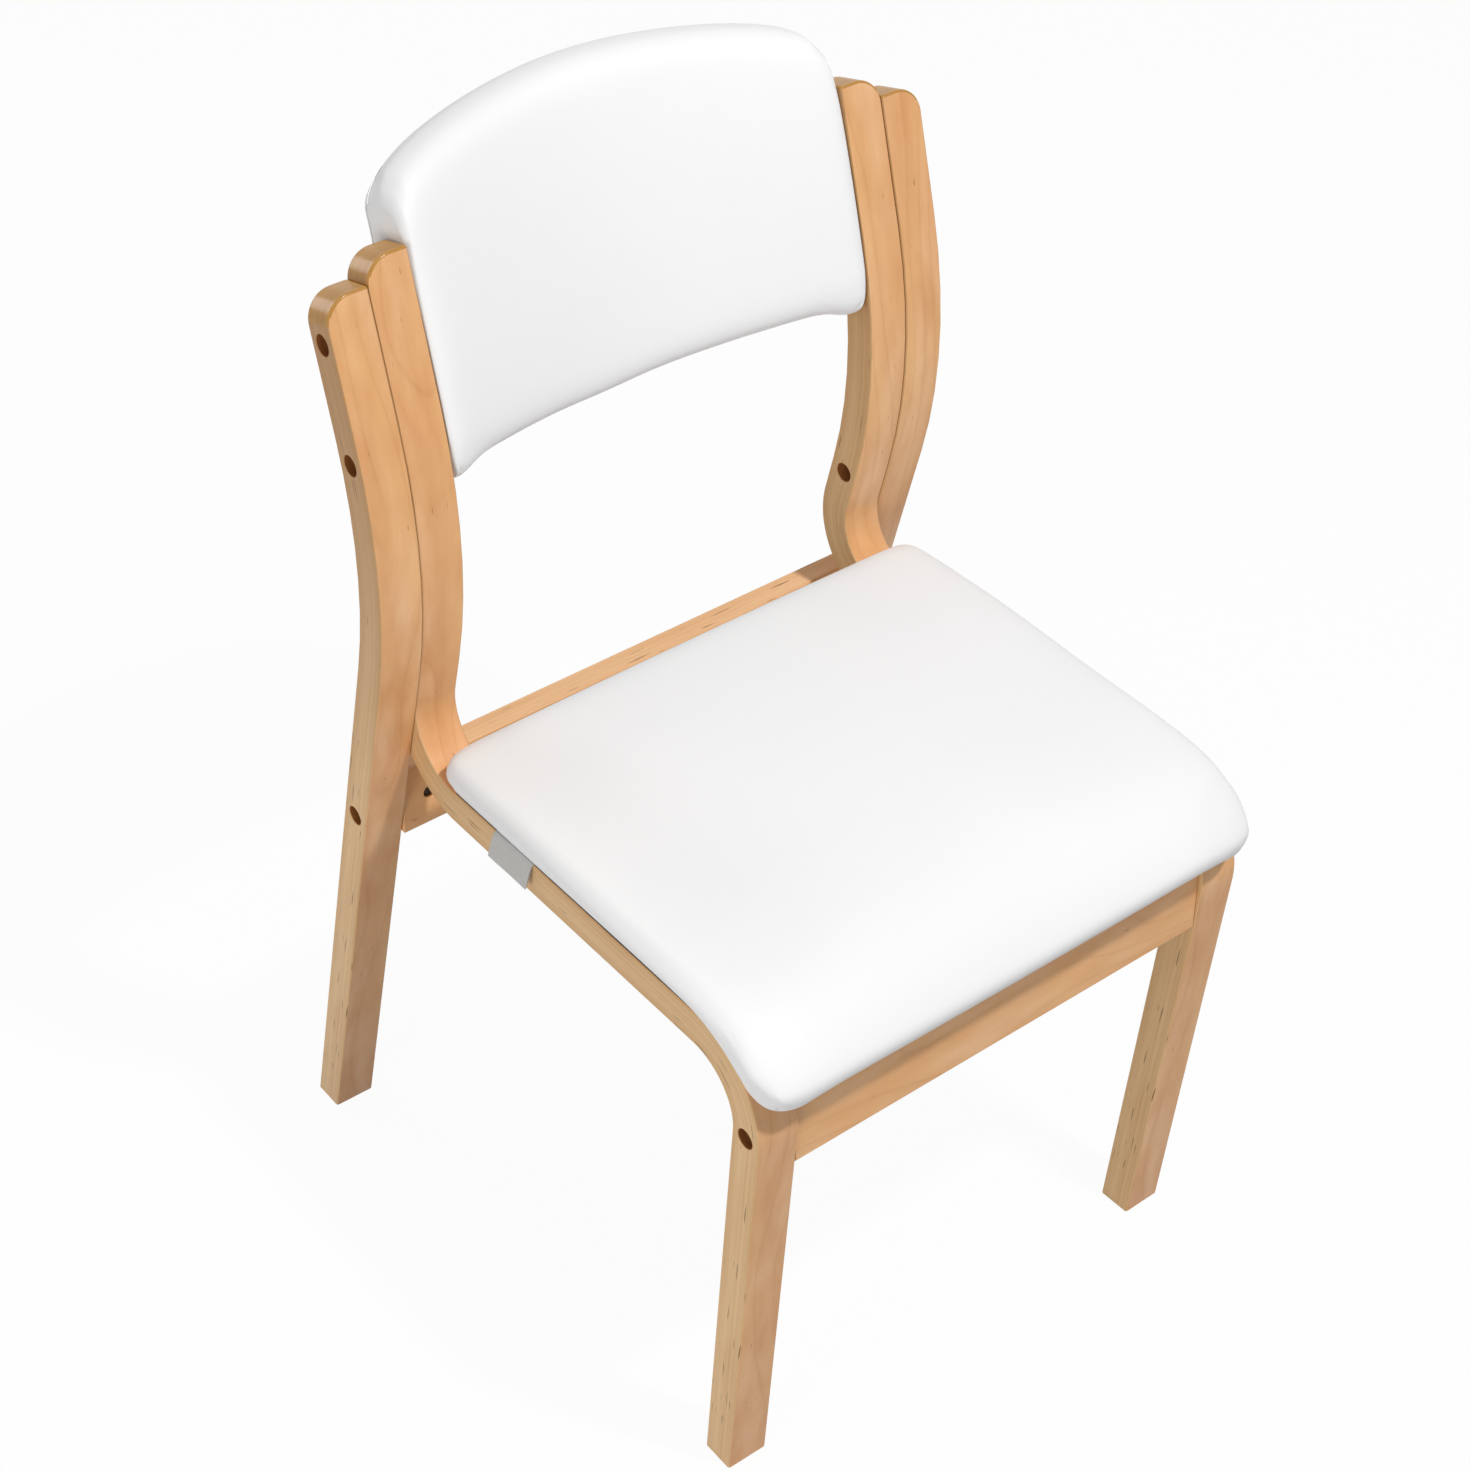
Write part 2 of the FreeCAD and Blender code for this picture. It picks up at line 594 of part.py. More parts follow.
INNER_FACE = "-Dims.strip_width"
JOINT_FACE = "0"


def dowels(label, dowel_line, out):
    """Dowel at each end of a rail, part in the leg and part in the rail."""
    members = [rod(f"{label}_{word}", side, f"{out} - Dims.dowel_in_rail", f"{out} + Dims.dowel_in_leg",
                   *dowel_line, "Dims.dowel_thick") for word, side in SIDES.items()]
    return group(label, members)


def rail_bolts(label, bolt_line, out, face):
    """Bolt through the leg at each end of a rail. Face is the side of the leg that it enters."""
    tip = f"({out} - Dims.barrel_inset - Dims.barrel_bolt_past)"
    members = [bolt(f"{label}_{word}", side, f"({face} - Dims.counterbore_depth)", tip, *bolt_line)
               for word, side in SIDES.items()]
    return group(label, members)


def barrel_nuts(label, bolt_line, out):
    """Cross nut for each bolt of a rail."""
    y, z = bolt_line
    members = []
    for word, side in SIDES.items():
        middle = f"({out} - Dims.barrel_inset)"
        half = "Dims.barrel_length / 2"
        blank = barrel(f"{label}_{word}_blank", side, middle, f"{y} - {half}", f"{y} + {half}", z,
                       "Dims.barrel_thick")
        hole = rod(f"{label}_{word}_hole", side, f"{middle} - Dims.barrel_thick",
                   f"{middle} + Dims.barrel_thick", y, z, THREAD_HOLE)
        members.append(cut(f"{label}_{word}", blank, [hole]))
    return group(label, members)


def long_nut(name, side, inner, outer, bolt_line):
    """Six-sided nut across a side."""
    blank = rod(f"{name}_blank", side, inner, outer, *bolt_line, "Dims.bolt_head", HEX)
    hole = rod(f"{name}_hole", side, f"{inner} - {PAST}", f"{outer} + {PAST}", *bolt_line, THREAD_HOLE)
    return cut(name, blank, [hole])


# Soft pad sections, in a plane that runs front to back

NUM = {name: value(f"Dims.{name}") for name in DIMS}
HALF_SEAT = value(CONTACT) + NUM["seat_over"]
SEAT_BASE = value(RAIL_TOP) + NUM["soft_gap"]
SEAT_NOSE = -value(HALF_DEPTH)
SLANT = math.sqrt(0.5)
SEAT_STEPS = [0.0, 2.0, 6.0, 12.0, 22.0, 70.0]
BACK_STEPS = [0.0, 2.0, 6.0, 14.0, 30.0, 70.0, 120.0]


def roundness(distance, radius):
    """Height share of a quarter round, this far in from its edge."""
    if distance >= radius:
        return 1.0
    return math.sqrt(1 - (1 - distance / radius) ** 2)


def line(first, last):
    return Part.LineSegment(Vector(0, *first), Vector(0, *last)).toShape()


def arc(first, middle, last):
    return Part.Arc(Vector(0, *first), Vector(0, *middle), Vector(0, *last)).toShape()


def bulge(first, last, out_y, out_z):
    """Arc between two points whose middle is pushed out from the chord."""
    middle = ((first[0] + last[0]) / 2 + out_y, (first[1] + last[1]) / 2 + out_z)
    return arc(first, middle, last)


def quarter(first, last, centre):
    """Quarter round about a centre."""
    radius = math.dist(first, centre)
    signs = [math.copysign(1, first[i] + last[i] - 2 * centre[i]) for i in (0, 1)]
    return arc(first, tuple(centre[i] + signs[i] * radius * SLANT for i in (0, 1)), last)


def seat_section(edge):
    """Side outline of the seat pad at a distance in from its side."""
    front_corner, back_corner = (NUM[name] * (1 - roundness(edge, NUM[name]))
                                 for name in ("pad_front_corner", "pad_back_corner"))
    swell = roundness(edge, NUM["pad_round"])
    across = 1 - (1 - edge / HALF_SEAT) ** 2
    nose = SEAT_NOSE + front_corner
    rear = SEAT_NOSE + NUM["seat_length"] - back_corner
    low = SEAT_BASE + NUM["pad_draw"] * (1 - roundness(edge, NUM["draw_round"]))
    rise = NUM["pad_edge"] + (NUM["pad_height"] - NUM["pad_edge"]) * swell + NUM["pad_crown"] * across
    high = SEAT_BASE + rise
    height = high - low
    # Underside, which follows the knee down to the chin of the nose
    knee_y, knee_z = value(KNEE_Y), value(KNEE_Z)
    knee = low - knee_z
    share = (knee_y - nose - 0.8 * NUM["nose_lip"]) / knee
    wrap = math.asin(min(math.sin(math.radians(NUM["knee_wrap"])), share))
    bend = [(knee_y - knee * math.sin(turn), knee_z + knee * math.cos(turn)) for turn in (0, wrap / 2, wrap)]
    room = bend[2][0] - nose
    chin = (nose + NUM["chin_in"] * room, bend[2][1] - NUM["chin_drop"] * room)
    lip = (nose, min(chin[1] + NUM["nose_lip"], (chin[1] + high) / 2))
    # Front fall, level where it meets the top
    level = (SEAT_NOSE + NUM["nose_run"], high)
    run, fall = level[0] - lip[0], level[1] - lip[1]
    radius = (run ** 2 + fall ** 2) / (2 * fall)
    turn = math.asin(run / radius) / 2
    brow = (level[0] - radius * math.sin(turn), high - radius * (1 - math.cos(turn)))
    # Rounded back, drawn in at the foot
    back_round = NUM["heel_round"] * height
    crest = (rear - back_round, high - NUM["pad_fall"] * across)
    heel = (rear, crest[1] - back_round)
    tuck = (rear - NUM["heel_tuck"] * height, low)
    return Part.Wire([
        line(tuck, bend[0]), arc(*bend), line(bend[2], chin),
        bulge(chin, lip, -0.1 * room, -0.2 * (lip[1] - chin[1])),
        arc(lip, brow, level), bulge(level, crest, 0, 0.2 + 0.4 * NUM["pad_crown"] * across),
        quarter(crest, heel, (crest[0], heel[1])),
        bulge(heel, tuck, 0.06 * height, -0.04 * height)])


def mirrored(steps, half):
    """Places across a pad and their distances in from its sides, from left to right."""
    edges = [step for step in steps if step < half] + [half]
    right = [(half - edge, edge) for edge in reversed(edges[:-1])]
    return [(edge - half, edge) for edge in edges] + right


def seat_loft():
    """Seat solid through sections that fan with the toe-in."""
    wires = []
    for x, edge in mirrored(SEAT_STEPS, HALF_SEAT):
        wire = seat_section(edge)
        wire.Placement = Placement(Vector(x, 0, 0), Rotation(Vector(0, 0, 1), NUM["toe_in"] * x / HALF_SEAT))
        wires.append(wire)
    return Part.makeLoft(wires, True, True)


def solid_feature(name, shape, placement=""):
    feature = doc.addObject("Part::Feature", name)
    feature.Label = name
    feature.Shape = shape
    if placement:
        feature.setExpression("Placement", placement)
    return feature


def seat_pieces():
    """Cover with its wadding, foam and dust cover of the seat."""
    inside = "(Dims.panel_thick + Dims.seat_foam + 3 * Dims.soft_gap)"
    cavity = bent_board("seat_cavity", "Dims.cover_thick", inside, "Dims.soft_gap")
    thick, gap = NUM["cover_thick"], NUM["soft_gap"]
    half_window = HALF_SEAT - NUM["hem"]
    window_front = value(KNEE_Y) + NUM["hem"] / 2
    window_back = SEAT_NOSE + NUM["seat_length"] - NUM["hem"] - NUM["panel_back"] / 2
    size = (2 * half_window, window_back - window_front)
    window = Part.makeBox(*size, 2 * thick, Vector(-half_window, window_front, SEAT_BASE - thick / 2))
    skin = solid_feature("seat_cover_blank", seat_loft().cut(window))
    holes = seat_drills("seat_cover", CLEARANCE, f"-{PAST}", f"Dims.cover_thick + {PAST}")
    cut("seat_cover", skin, [cavity, *holes])
    place = Vector(-half_window + gap, window_front + gap, SEAT_BASE + gap)
    sheet_size = (size[0] - 2 * gap, size[1] - 2 * gap, NUM["dust_sheet"])
    solid_feature("seat_dust_cover", Part.makeBox(*sheet_size, place))
    above_panel = "(Dims.cover_thick + Dims.panel_thick + 2 * Dims.soft_gap)"
    bent_board("seat_foam", above_panel, "Dims.seat_foam", "0")


def seat_drills(name, diameter, low, high, sides=HIDDEN_SIDES):
    """Upright drills on the seat bolts, between two heights above the pad's underside."""
    base = f"{RAIL_TOP} + Dims.soft_gap"
    return [peg(f"{name}_{word}_{place}_drill", side, "-Dims.seat_bolt_in", y,
                f"{base} + {low}", f"{base} + {high}", diameter, sides)
            for word, side in SIDES.items() for place, y in SEAT_BOLTS.items()]


def bent_board(name, floor, thick, grow):
    """Board bent over the knee, floor above the pad's underside, trimmed to the panel's grown outline."""
    body = new_body(f"{name}_bent")
    lift = f"(Dims.soft_gap + {floor} + ({thick}) / 2)"
    middle = f"({RAIL_TOP} + {lift})"
    radius = f"(Dims.seat_bend + Dims.strip_thick / 2 + {lift})"
    back = f"(Dims.seat_length - {HALF_DEPTH} - Dims.panel_back + {grow})"
    tail = f"(Dims.soft_gap + {grow})"
    end = (f"({KNEE_Y} - {radius} * sin(Dims.panel_wrap) - {tail} * cos(Dims.panel_wrap))",
           f"({KNEE_Z} + {radius} * cos(Dims.panel_wrap) - {tail} * sin(Dims.panel_wrap))")
    profile = sketch_on(body, "YZ_Plane", "Profile")
    headings = ("180", "180 + Dims.panel_wrap")
    bent_band(profile, (back, middle), [(KNEE_Y, KNEE_Z, radius, 1)], end, thick, headings)
    pad(body, profile, "Dims.frame_width", True)
    outline = new_body(f"{name}_outline")
    plan = sketch_on(outline, "XY_Plane", "Plan")
    front = f"(-{HALF_DEPTH})"
    out = f"(Dims.seat_over - Dims.panel_inset + {grow})"
    polygon(plan, [(f"-{side_face(out, front)}", front), (side_face(out, front), front),
                   (side_face(out, back), back), (f"-{side_face(out, back)}", back)])
    pad(outline, plan, "Dims.rail_height * 2")
    behind = value(f"{back} - 1")
    fillet(outline, "Dims.pad_back_corner",
           lambda edge: edge.BoundBox.ZLength > 1 and edge.BoundBox.YMin > behind)
    return common(name, [body, outline])


def seat_panel():
    """Bent plywood with holes for the bolts and recesses for their nuts."""
    floor = "Dims.cover_thick + Dims.soft_gap"
    board = bent_board("seat_panel_board", f"({floor})", "Dims.panel_thick", "0")
    top = f"{floor} + Dims.panel_thick"
    holes = seat_drills("panel_bolt", CLEARANCE, "0", f"{top} + {PAST}")
    holes += seat_drills("panel_nut", NUT_HOLE, f"{top} - Dims.seat_nut - Dims.fit", f"{top} + {PAST}", HEX)
    return cut("seat_panel", board, holes)


def seat_fixings():
    """Bolts up through the side rails into nuts let into the top of the panel."""
    bolts, nuts = [], []
    top = f"({RAIL_TOP} + 2 * Dims.soft_gap + Dims.cover_thick + Dims.panel_thick - Dims.fit)"
    nut_low = f"({top} - Dims.seat_nut)"
    for word, side in SIDES.items():
        for place, y in SEAT_BOLTS.items():
            name = f"{word}_{place}"
            line_up = (side, "-Dims.seat_bolt_in", y)
            head = peg(f"seat_bolt_{name}_head", *line_up, f"{SEAT_BOLT_HEAD} - Dims.bolt_head_thick",
                       SEAT_BOLT_HEAD, "Dims.bolt_head", HEX)
            shank = peg(f"seat_bolt_{name}_shank", *line_up, SEAT_BOLT_HEAD, f"{top} - Dims.bolt_short",
                        "Dims.bolt_thick")
            bolts.append(fuse(f"seat_bolt_{name}", [head, shank]))
            blank = peg(f"seat_nut_{name}_blank", *line_up, nut_low, top, "Dims.bolt_head", HEX)
            hole = peg(f"seat_nut_{name}_hole", *line_up, f"{nut_low} - {PAST}", f"{top} + {PAST}",
                       THREAD_HOLE)
            nuts.append(cut(f"seat_nut_{name}", blank, [hole]))
    group("seat_bolts", bolts)
    group("seat_nuts", nuts)


# Back pad, in its own leaning frame: X across, Y to the rear, Z up along the lean

BACK_Y = f"(({BACK_BOLTS['low'][0]} + {BACK_BOLTS['high'][0]}) / 2)"
BACK_Z = "((Dims.back_bolt_low + Dims.back_bolt_high) / 2)"
BACK_FRAME = f"placement(vector(0; {BACK_Y}; {BACK_Z}); rotation(vector(1; 0; 0); -Dims.back_lean))"
HALF_BACK = f"({side_face(INNER_FACE, f'{BACK_Y} + Dims.strip_thick')} - Dims.back_gap)"
BACK_REAR = "(Dims.back_thick - Dims.back_front)"
BOW_SAG = f"(Dims.back_bow - sqrt(Dims.back_bow ^ 2 - {HALF_BACK} ^ 2))"
PANEL_REAR = f"({BACK_REAR} - Dims.back_rear_skin)"
BOW_CENTRE = f"({PANEL_REAR} + {BOW_SAG} - Dims.back_bow)"
COVER_INNER = "(Dims.cover_thick + Dims.soft_gap)"


def back_outline(x, edge):
    """Bow, top and bottom of the back pad at a place across it."""
    bow = math.sqrt(NUM["back_bow"] ** 2 - x ** 2) - NUM["back_bow"] + value(BOW_SAG)
    arch = NUM["back_arch"] - math.sqrt(NUM["back_arch"] ** 2 - x ** 2)
    top = NUM["back_top"] - arch - NUM["back_corner"] * (1 - roundness(edge, NUM["back_corner"]))
    low_corner = NUM["back_low_corner"] * (1 - roundness(edge, NUM["back_low_corner"]))
    return bow, top, low_corner - NUM["back_bottom"]


def back_section(x, edge):
    """Side outline of the back pad at a place across it."""
    bow, top, bottom = back_outline(x, edge)
    end_round, rear_end = NUM["back_end_round"], NUM["back_rear_end_round"]
    front = bow - NUM["back_front"] + end_round * (1 - roundness(edge, end_round))
    rear = bow + value(BACK_REAR) - rear_end * (1 - roundness(edge, rear_end))
    soft = min(NUM["back_edge"], 0.5 * (rear - front))
    firm = min(NUM["back_rear_edge"], 0.42 * (rear - front))
    crown = 0.3 + NUM["back_crown"] * roundness(edge, 2.5 * NUM["back_corner"])
    low_front, low_side = (front + soft, bottom), (front, bottom + soft)
    top_side, top_front = (front, top - soft), (front + soft, top)
    top_rear, rear_top = (rear - firm, top), (rear, top - firm)
    rear_low, low_rear = (rear, bottom + firm), (rear - firm, bottom)
    return Part.Wire([
        line(low_rear, low_front), quarter(low_front, low_side, (front + soft, bottom + soft)),
        bulge(low_side, top_side, -crown, 0), quarter(top_side, top_front, (front + soft, top - soft)),
        line(top_front, top_rear), quarter(top_rear, rear_top, (rear - firm, top - firm)),
        line(rear_top, rear_low), quarter(rear_low, low_rear, (rear - firm, bottom + firm))])


def back_loft():
    """Back solid through upright sections across the pad."""
    wires = []
    for x, edge in mirrored(BACK_STEPS, value(HALF_BACK)):
        wire = back_section(x, edge)
        wire.Placement = Placement(Vector(x, 0, 0), Rotation())
        wires.append(wire)
    return Part.makeLoft(wires, True, True)


def back_drills(name, diameter, inner, outer):
    """Drills on the back bolts between two distances out from the joint of the strips."""
    return [rod(f"{name}_{word}_{place}_drill", side, inner, outer, *bolt_line, diameter)
            for word, side in SIDES.items() for place, bolt_line in BACK_BOLTS.items()]


def cleat_room(name, side, grow):
    """Upright block at one end of the back pad, grown on the sides that face the foam."""
    body = new_body(name, BACK_FRAME)
    outer = f"({HALF_BACK} - {COVER_INNER})"
    plan = sketch_on(body, "XY_Plane", "Plan",
                     f"placement(vector(0; 0; -Dims.cleat_low - {grow}); rotation(vector(0; 0; 1); 0))")
    rectangle(plan, f"{side} * ({outer} - Dims.cleat_width - {grow})", f"{side} * ({outer} + {grow})",
              f"-Dims.cleat_front - {grow}", BACK_REAR)
    pad(body, plan, f"Dims.cleat_low + Dims.cleat_high + 2 * {grow}")
    return body


def cleat(word, side):
    """Wooden block that takes two bolts, shaped to the front of the panel."""
    blank = cleat_room(f"back_{word}_cleat_blank", side, "0")
    before_panel = back_cylinder(f"back_{word}_cleat_bow", "Dims.panel_thick + Dims.fit")
    seated = common(f"back_{word}_cleat_seated", [blank, before_panel])
    holes = [rod(f"back_{word}_cleat_{place}_hole", side, f"{NUT_INNER} - Dims.end_gap", INNER_FACE,
                 *bolt_line, NUT_HOLE, HEX) for place, bolt_line in BACK_BOLTS.items()]
    return cut(f"back_{word}_cleat", seated, holes)


def back_cylinder(name, inset):
    """Tall cylinder in the back's frame whose wall follows the rear of the panel, drawn in by inset."""
    cylinder = doc.addObject("Part::Cylinder", name)
    cylinder.setExpression("Radius", f"Dims.back_bow - ({inset})")
    cylinder.setExpression("Height", "Dims.back_top + Dims.back_bottom")
    local = f"placement(vector(0; {BOW_CENTRE}; -Dims.back_bottom); rotation(vector(0; 0; 1); 0))"
    cylinder.setExpression("Placement", f"{BACK_FRAME} * {local}")
    return cylinder


def bowed_board(name, depth, thick, inset, grow="0"):
    """Board that follows the bow, depth in front of the panel's rear, inset from the outline of the pad."""
    ring = cut(f"{name}_ring", back_cylinder(f"{name}_rear", f"{depth} - {grow}"),
               [back_cylinder(f"{name}_front", f"{depth} + {thick} + {grow}")])
    body = new_body(f"{name}_outline", BACK_FRAME)
    outline = sketch_on(body, "XZ_Plane", "Outline",
                        "placement(vector(0; 0; -Dims.back_bow); rotation(vector(0; 0; 1); 0))")
    half = f"({HALF_BACK} - Dims.back_panel_end + {grow})"
    top = f"(Dims.back_top - {inset} + {grow})"
    rectangle(outline, f"-{half}", half, f"{inset} - {grow} - Dims.back_bottom", top)
    pad(body, outline, "Dims.back_bow")
    high = value(top) - 1
    fillet(body, "Dims.back_corner", lambda edge: edge.BoundBox.YLength > 100 and edge.BoundBox.ZMin > high)
    arch = doc.addObject("Part::Cylinder", f"{name}_arch")
    arch.setExpression("Radius", f"Dims.back_arch - {inset} + {grow}")
    arch.setExpression("Height", "4 * Dims.back_bow")
    local = ("placement(vector(0; 2 * Dims.back_bow; Dims.back_top - Dims.back_arch);"
             " rotation(vector(1; 0; 0); 90))")
    arch.setExpression("Placement", f"{BACK_FRAME} * {local}")
    return common(name, [ring, body, arch])


def back_pieces():
    """Cover with its wadding, rear sheet, panel and foam of the back."""
    gap = "Dims.soft_gap"
    inside = f"(Dims.panel_thick + Dims.back_foam + {gap})"
    sheet = f"(-Dims.cover_thick - {gap})"
    tools = [bowed_board("back_cavity", "0", inside, "Dims.back_panel_inset", gap),
             bowed_board("back_window", f"({sheet} - Dims.cover_thick)",
                         "(2 * Dims.cover_thick + Dims.panel_thick)", "Dims.back_hem", gap)]
    tools += [cleat_room(f"back_cover_{word}_room", side, gap) for word, side in SIDES.items()]
    wall = f"({INNER_FACE} - 2 * Dims.cover_thick - 2 * Dims.back_gap)"
    tools += back_drills("back_cover", CLEARANCE, wall, INNER_FACE)
    cut("back_cover", solid_feature("back_cover_blank", back_loft(), BACK_FRAME), tools)
    bowed_board("back_rear_cover", sheet, "Dims.cover_thick", "Dims.back_hem")
    bowed_board("back_panel", "0", "Dims.panel_thick", "Dims.back_panel_inset")
    block = bowed_board("back_foam_block", f"(Dims.panel_thick + {gap})", "Dims.back_foam",
                        "Dims.back_panel_inset")
    rooms = [cleat_room(f"back_foam_{word}_room", side, gap) for word, side in SIDES.items()]
    cut("back_foam", block, rooms)


NUT_OUTER = f"({INNER_FACE} - 2 * Dims.back_gap - {COVER_INNER})"
NUT_INNER = f"({NUT_OUTER} - Dims.cleat_nut)"


def back_fixings():
    """Bolts through both strips into long nuts in the cleats."""
    seat = "(Dims.strip_width - Dims.counterbore_depth)"
    bolts, nuts = [], []
    for word, side in SIDES.items():
        for place, bolt_line in BACK_BOLTS.items():
            tip = f"{NUT_INNER} + Dims.bolt_short"
            bolts.append(bolt(f"back_bolt_{word}_{place}", side, seat, tip, *bolt_line))
            nuts.append(long_nut(f"back_nut_{word}_{place}", side, NUT_INNER, NUT_OUTER, bolt_line))
    group("back_bolts", bolts)
    group("back_nuts", nuts)


def post_joint():
    """Bolt that clamps each inner strip to its outer strip, with its long nut."""
    seat = "(Dims.counterbore_depth - Dims.strip_width)"
    bolts, nuts = [], []
    for word, side in SIDES.items():
        bolts.append(bolt(f"post_joint_bolt_{word}", side, seat, "Dims.nut_length - Dims.bolt_short",
                          *JOINT_BOLT, False))
        nuts.append(long_nut(f"post_joint_nut_{word}", side, "Dims.fit", "Dims.nut_length", JOINT_BOLT))
    group("post_joint_bolts", bolts)
    group("post_joint_nuts", nuts)


def side_tag():
    """Blank fabric tag on the outer face of the left side rail, its end turned in under the pad."""
    body = new_body("side_tag", on_side(-1, "0", f"{FRONT_FACE} + Dims.tag_place"))
    top = f"({RAIL_TOP} + Dims.tag_clear)"
    face = "-Dims.tag_clear"
    outer = "(-Dims.tag_clear - Dims.tag_thick)"
    profile = sketch_on(body, "XZ_Plane", "Profile")
    polygon(profile, [(outer, f"{top} - Dims.tag_drop"), (face, f"{top} - Dims.tag_drop"), (face, top),
                      ("Dims.tag_flap", top), ("Dims.tag_flap", f"{top} + Dims.tag_flap_thick"),
                      (outer, f"{top} + Dims.tag_flap_thick")])
    pad(body, profile, "Dims.tag_width", True)


# Build every piece
for word, side in SIDES.items():
    rear_leg_post(f"{word}_rear_leg_post", side)
    front_leg_rail(f"{word}_front_leg_rail", side)

board = rail_board("front_rail_board", FRONT_BOLT, "Dims.front_rail_height", INNER_FACE)
cut("front_rail", board, rail_holes("front_rail", FRONT_BOLT, DOWELS["front"], INNER_FACE, "rear"))
board = rail_board("rear_rail_board", REAR_BOLT, "Dims.rear_rail_height", JOINT_FACE)
cut("rear_rail", board, rail_holes("rear_rail", REAR_BOLT, DOWELS["rear"], JOINT_FACE, "front"))
dowels("front_rail_dowels", DOWELS["front"], INNER_FACE)
dowels("rear_rail_dowels", DOWELS["rear"], JOINT_FACE)
rail_bolts("front_rail_bolts", FRONT_BOLT, INNER_FACE, "0")
rail_bolts("rear_rail_bolts", REAR_BOLT, JOINT_FACE, "Dims.strip_width")
barrel_nuts("front_rail_barrel_nuts", FRONT_BOLT, INNER_FACE)
barrel_nuts("rear_rail_barrel_nuts", REAR_BOLT, JOINT_FACE)

seat_pieces()
seat_panel()
seat_fixings()
back_pieces()
for word, side in SIDES.items():
    cleat(word, side)
back_fixings()
post_joint()
side_tag()
doc.recompute()

NODES = [
    "left_rear_leg_post", "right_rear_leg_post", "left_front_leg_rail", "right_front_leg_rail",
    "front_rail", "rear_rail", "front_rail_dowels", "rear_rail_dowels",
    "front_rail_bolts", "rear_rail_bolts", "front_rail_barrel_nuts", "rear_rail_barrel_nuts",
    "seat_panel", "seat_foam", "seat_cover", "seat_dust_cover", "seat_bolts", "seat_nuts",
    "back_panel", "back_foam", "back_cover", "back_rear_cover", "back_left_cleat", "back_right_cleat",
    "back_bolts", "back_nuts", "post_joint_bolts", "post_joint_nuts", "side_tag",
]

for item in doc.Objects:
    if "Invalid" in item.State or "Error" in item.State:
        raise RuntimeError(f"{item.Label} failed: {item.State}")

os.makedirs("parts", exist_ok=True)
for label in NODES:
    piece = doc.getObjectsByLabel(label)[0]
    shape = piece.Shape
    if shape.isNull() or not shape.isValid() or not shape.Solids:
        raise RuntimeError(f"{label} has no sound solid")
    shape.exportStep(os.path.join("parts", f"{label}.step"))
    print(label, len(shape.Solids), round(shape.Volume))
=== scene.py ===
# %% [markdown]
# # A waiting room chair
# The chair has two sides of bent, laminated birch, two cross rails, and a seat and a back in white vinyl.
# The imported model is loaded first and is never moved. It says where every piece is, in metres, with the
# floor at zero, up along Z and the front of the seat facing -Y. Left and right are as seen when facing it.

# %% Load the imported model
import math

import bmesh
import bpy
from mathutils import Matrix, Vector
from mathutils.bvhtree import BVHTree


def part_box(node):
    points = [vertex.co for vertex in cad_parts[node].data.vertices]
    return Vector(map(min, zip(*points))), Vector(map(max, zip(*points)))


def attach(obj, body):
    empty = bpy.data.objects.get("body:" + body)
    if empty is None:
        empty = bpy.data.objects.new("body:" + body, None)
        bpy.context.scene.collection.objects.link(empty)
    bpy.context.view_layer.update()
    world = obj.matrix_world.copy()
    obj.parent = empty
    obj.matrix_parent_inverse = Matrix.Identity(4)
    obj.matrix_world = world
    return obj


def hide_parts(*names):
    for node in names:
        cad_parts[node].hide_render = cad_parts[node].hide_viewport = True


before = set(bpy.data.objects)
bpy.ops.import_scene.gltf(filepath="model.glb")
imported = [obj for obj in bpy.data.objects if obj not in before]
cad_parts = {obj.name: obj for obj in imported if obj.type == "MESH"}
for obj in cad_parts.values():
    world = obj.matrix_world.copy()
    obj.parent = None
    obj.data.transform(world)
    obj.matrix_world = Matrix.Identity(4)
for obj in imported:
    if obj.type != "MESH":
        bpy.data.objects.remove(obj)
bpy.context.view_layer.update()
scene = bpy.context.scene
scene.view_settings.view_transform = "Standard"

# %% [markdown]
# ## The camera
# The photograph looks down on the chair from its front left. The place and the turn come from lines that
# are straight or level on the real chair. The lens is long, so the verticals lean in only a little.

# %% Camera
CAMERA_PLACE = Vector((-0.9900, -1.2481, 1.6810))
CAMERA_TURN = (("Z", -37.7094), ("X", 51.6634), ("Z", -0.6169))
CAMERA_LENS, CAMERA_SENSOR = 70.5, 36


def make_camera():
    turn = Matrix.Identity(3)
    for axis, angle in CAMERA_TURN:
        turn = turn @ Matrix.Rotation(math.radians(angle), 3, axis)
    data = bpy.data.cameras.new("camera")
    data.lens, data.sensor_width = CAMERA_LENS, CAMERA_SENSOR
    camera = bpy.data.objects.new("camera", data)
    camera.matrix_world = Matrix.Translation(CAMERA_PLACE) @ turn.to_4x4()
    scene.collection.objects.link(camera)
    return camera


scene.camera = make_camera()
print("camera", scene.camera.location)

# %% [markdown]
# ## Node helpers
# Every finish here is made of shader nodes. They could be added and linked one line at a time. A small
# helper that adds a node, sets it up and links it lets a material read as a list of what feeds what.

# %% Shader node helpers


def feed(tree, node, inputs):
    """Give each named input of a node a value, or the socket that feeds it."""
    for socket, given in inputs.items():
        if isinstance(given, bpy.types.NodeSocket):
            tree.links.new(given, node.inputs[socket])
        else:
            node.inputs[socket].default_value = given


def add(tree, kind, inputs=None, **settings):
    """New node of a kind, with its settings and inputs."""
    made = tree.nodes.new(kind)
    for name, setting in settings.items():
        setattr(made, name, setting)
    feed(tree, made, inputs or {})
    return made


def maths(tree, operation, first, second=0.0, clamp=False):
    return add(tree, "ShaderNodeMath", {0: first, 1: second}, operation=operation, use_clamp=clamp).outputs[0]


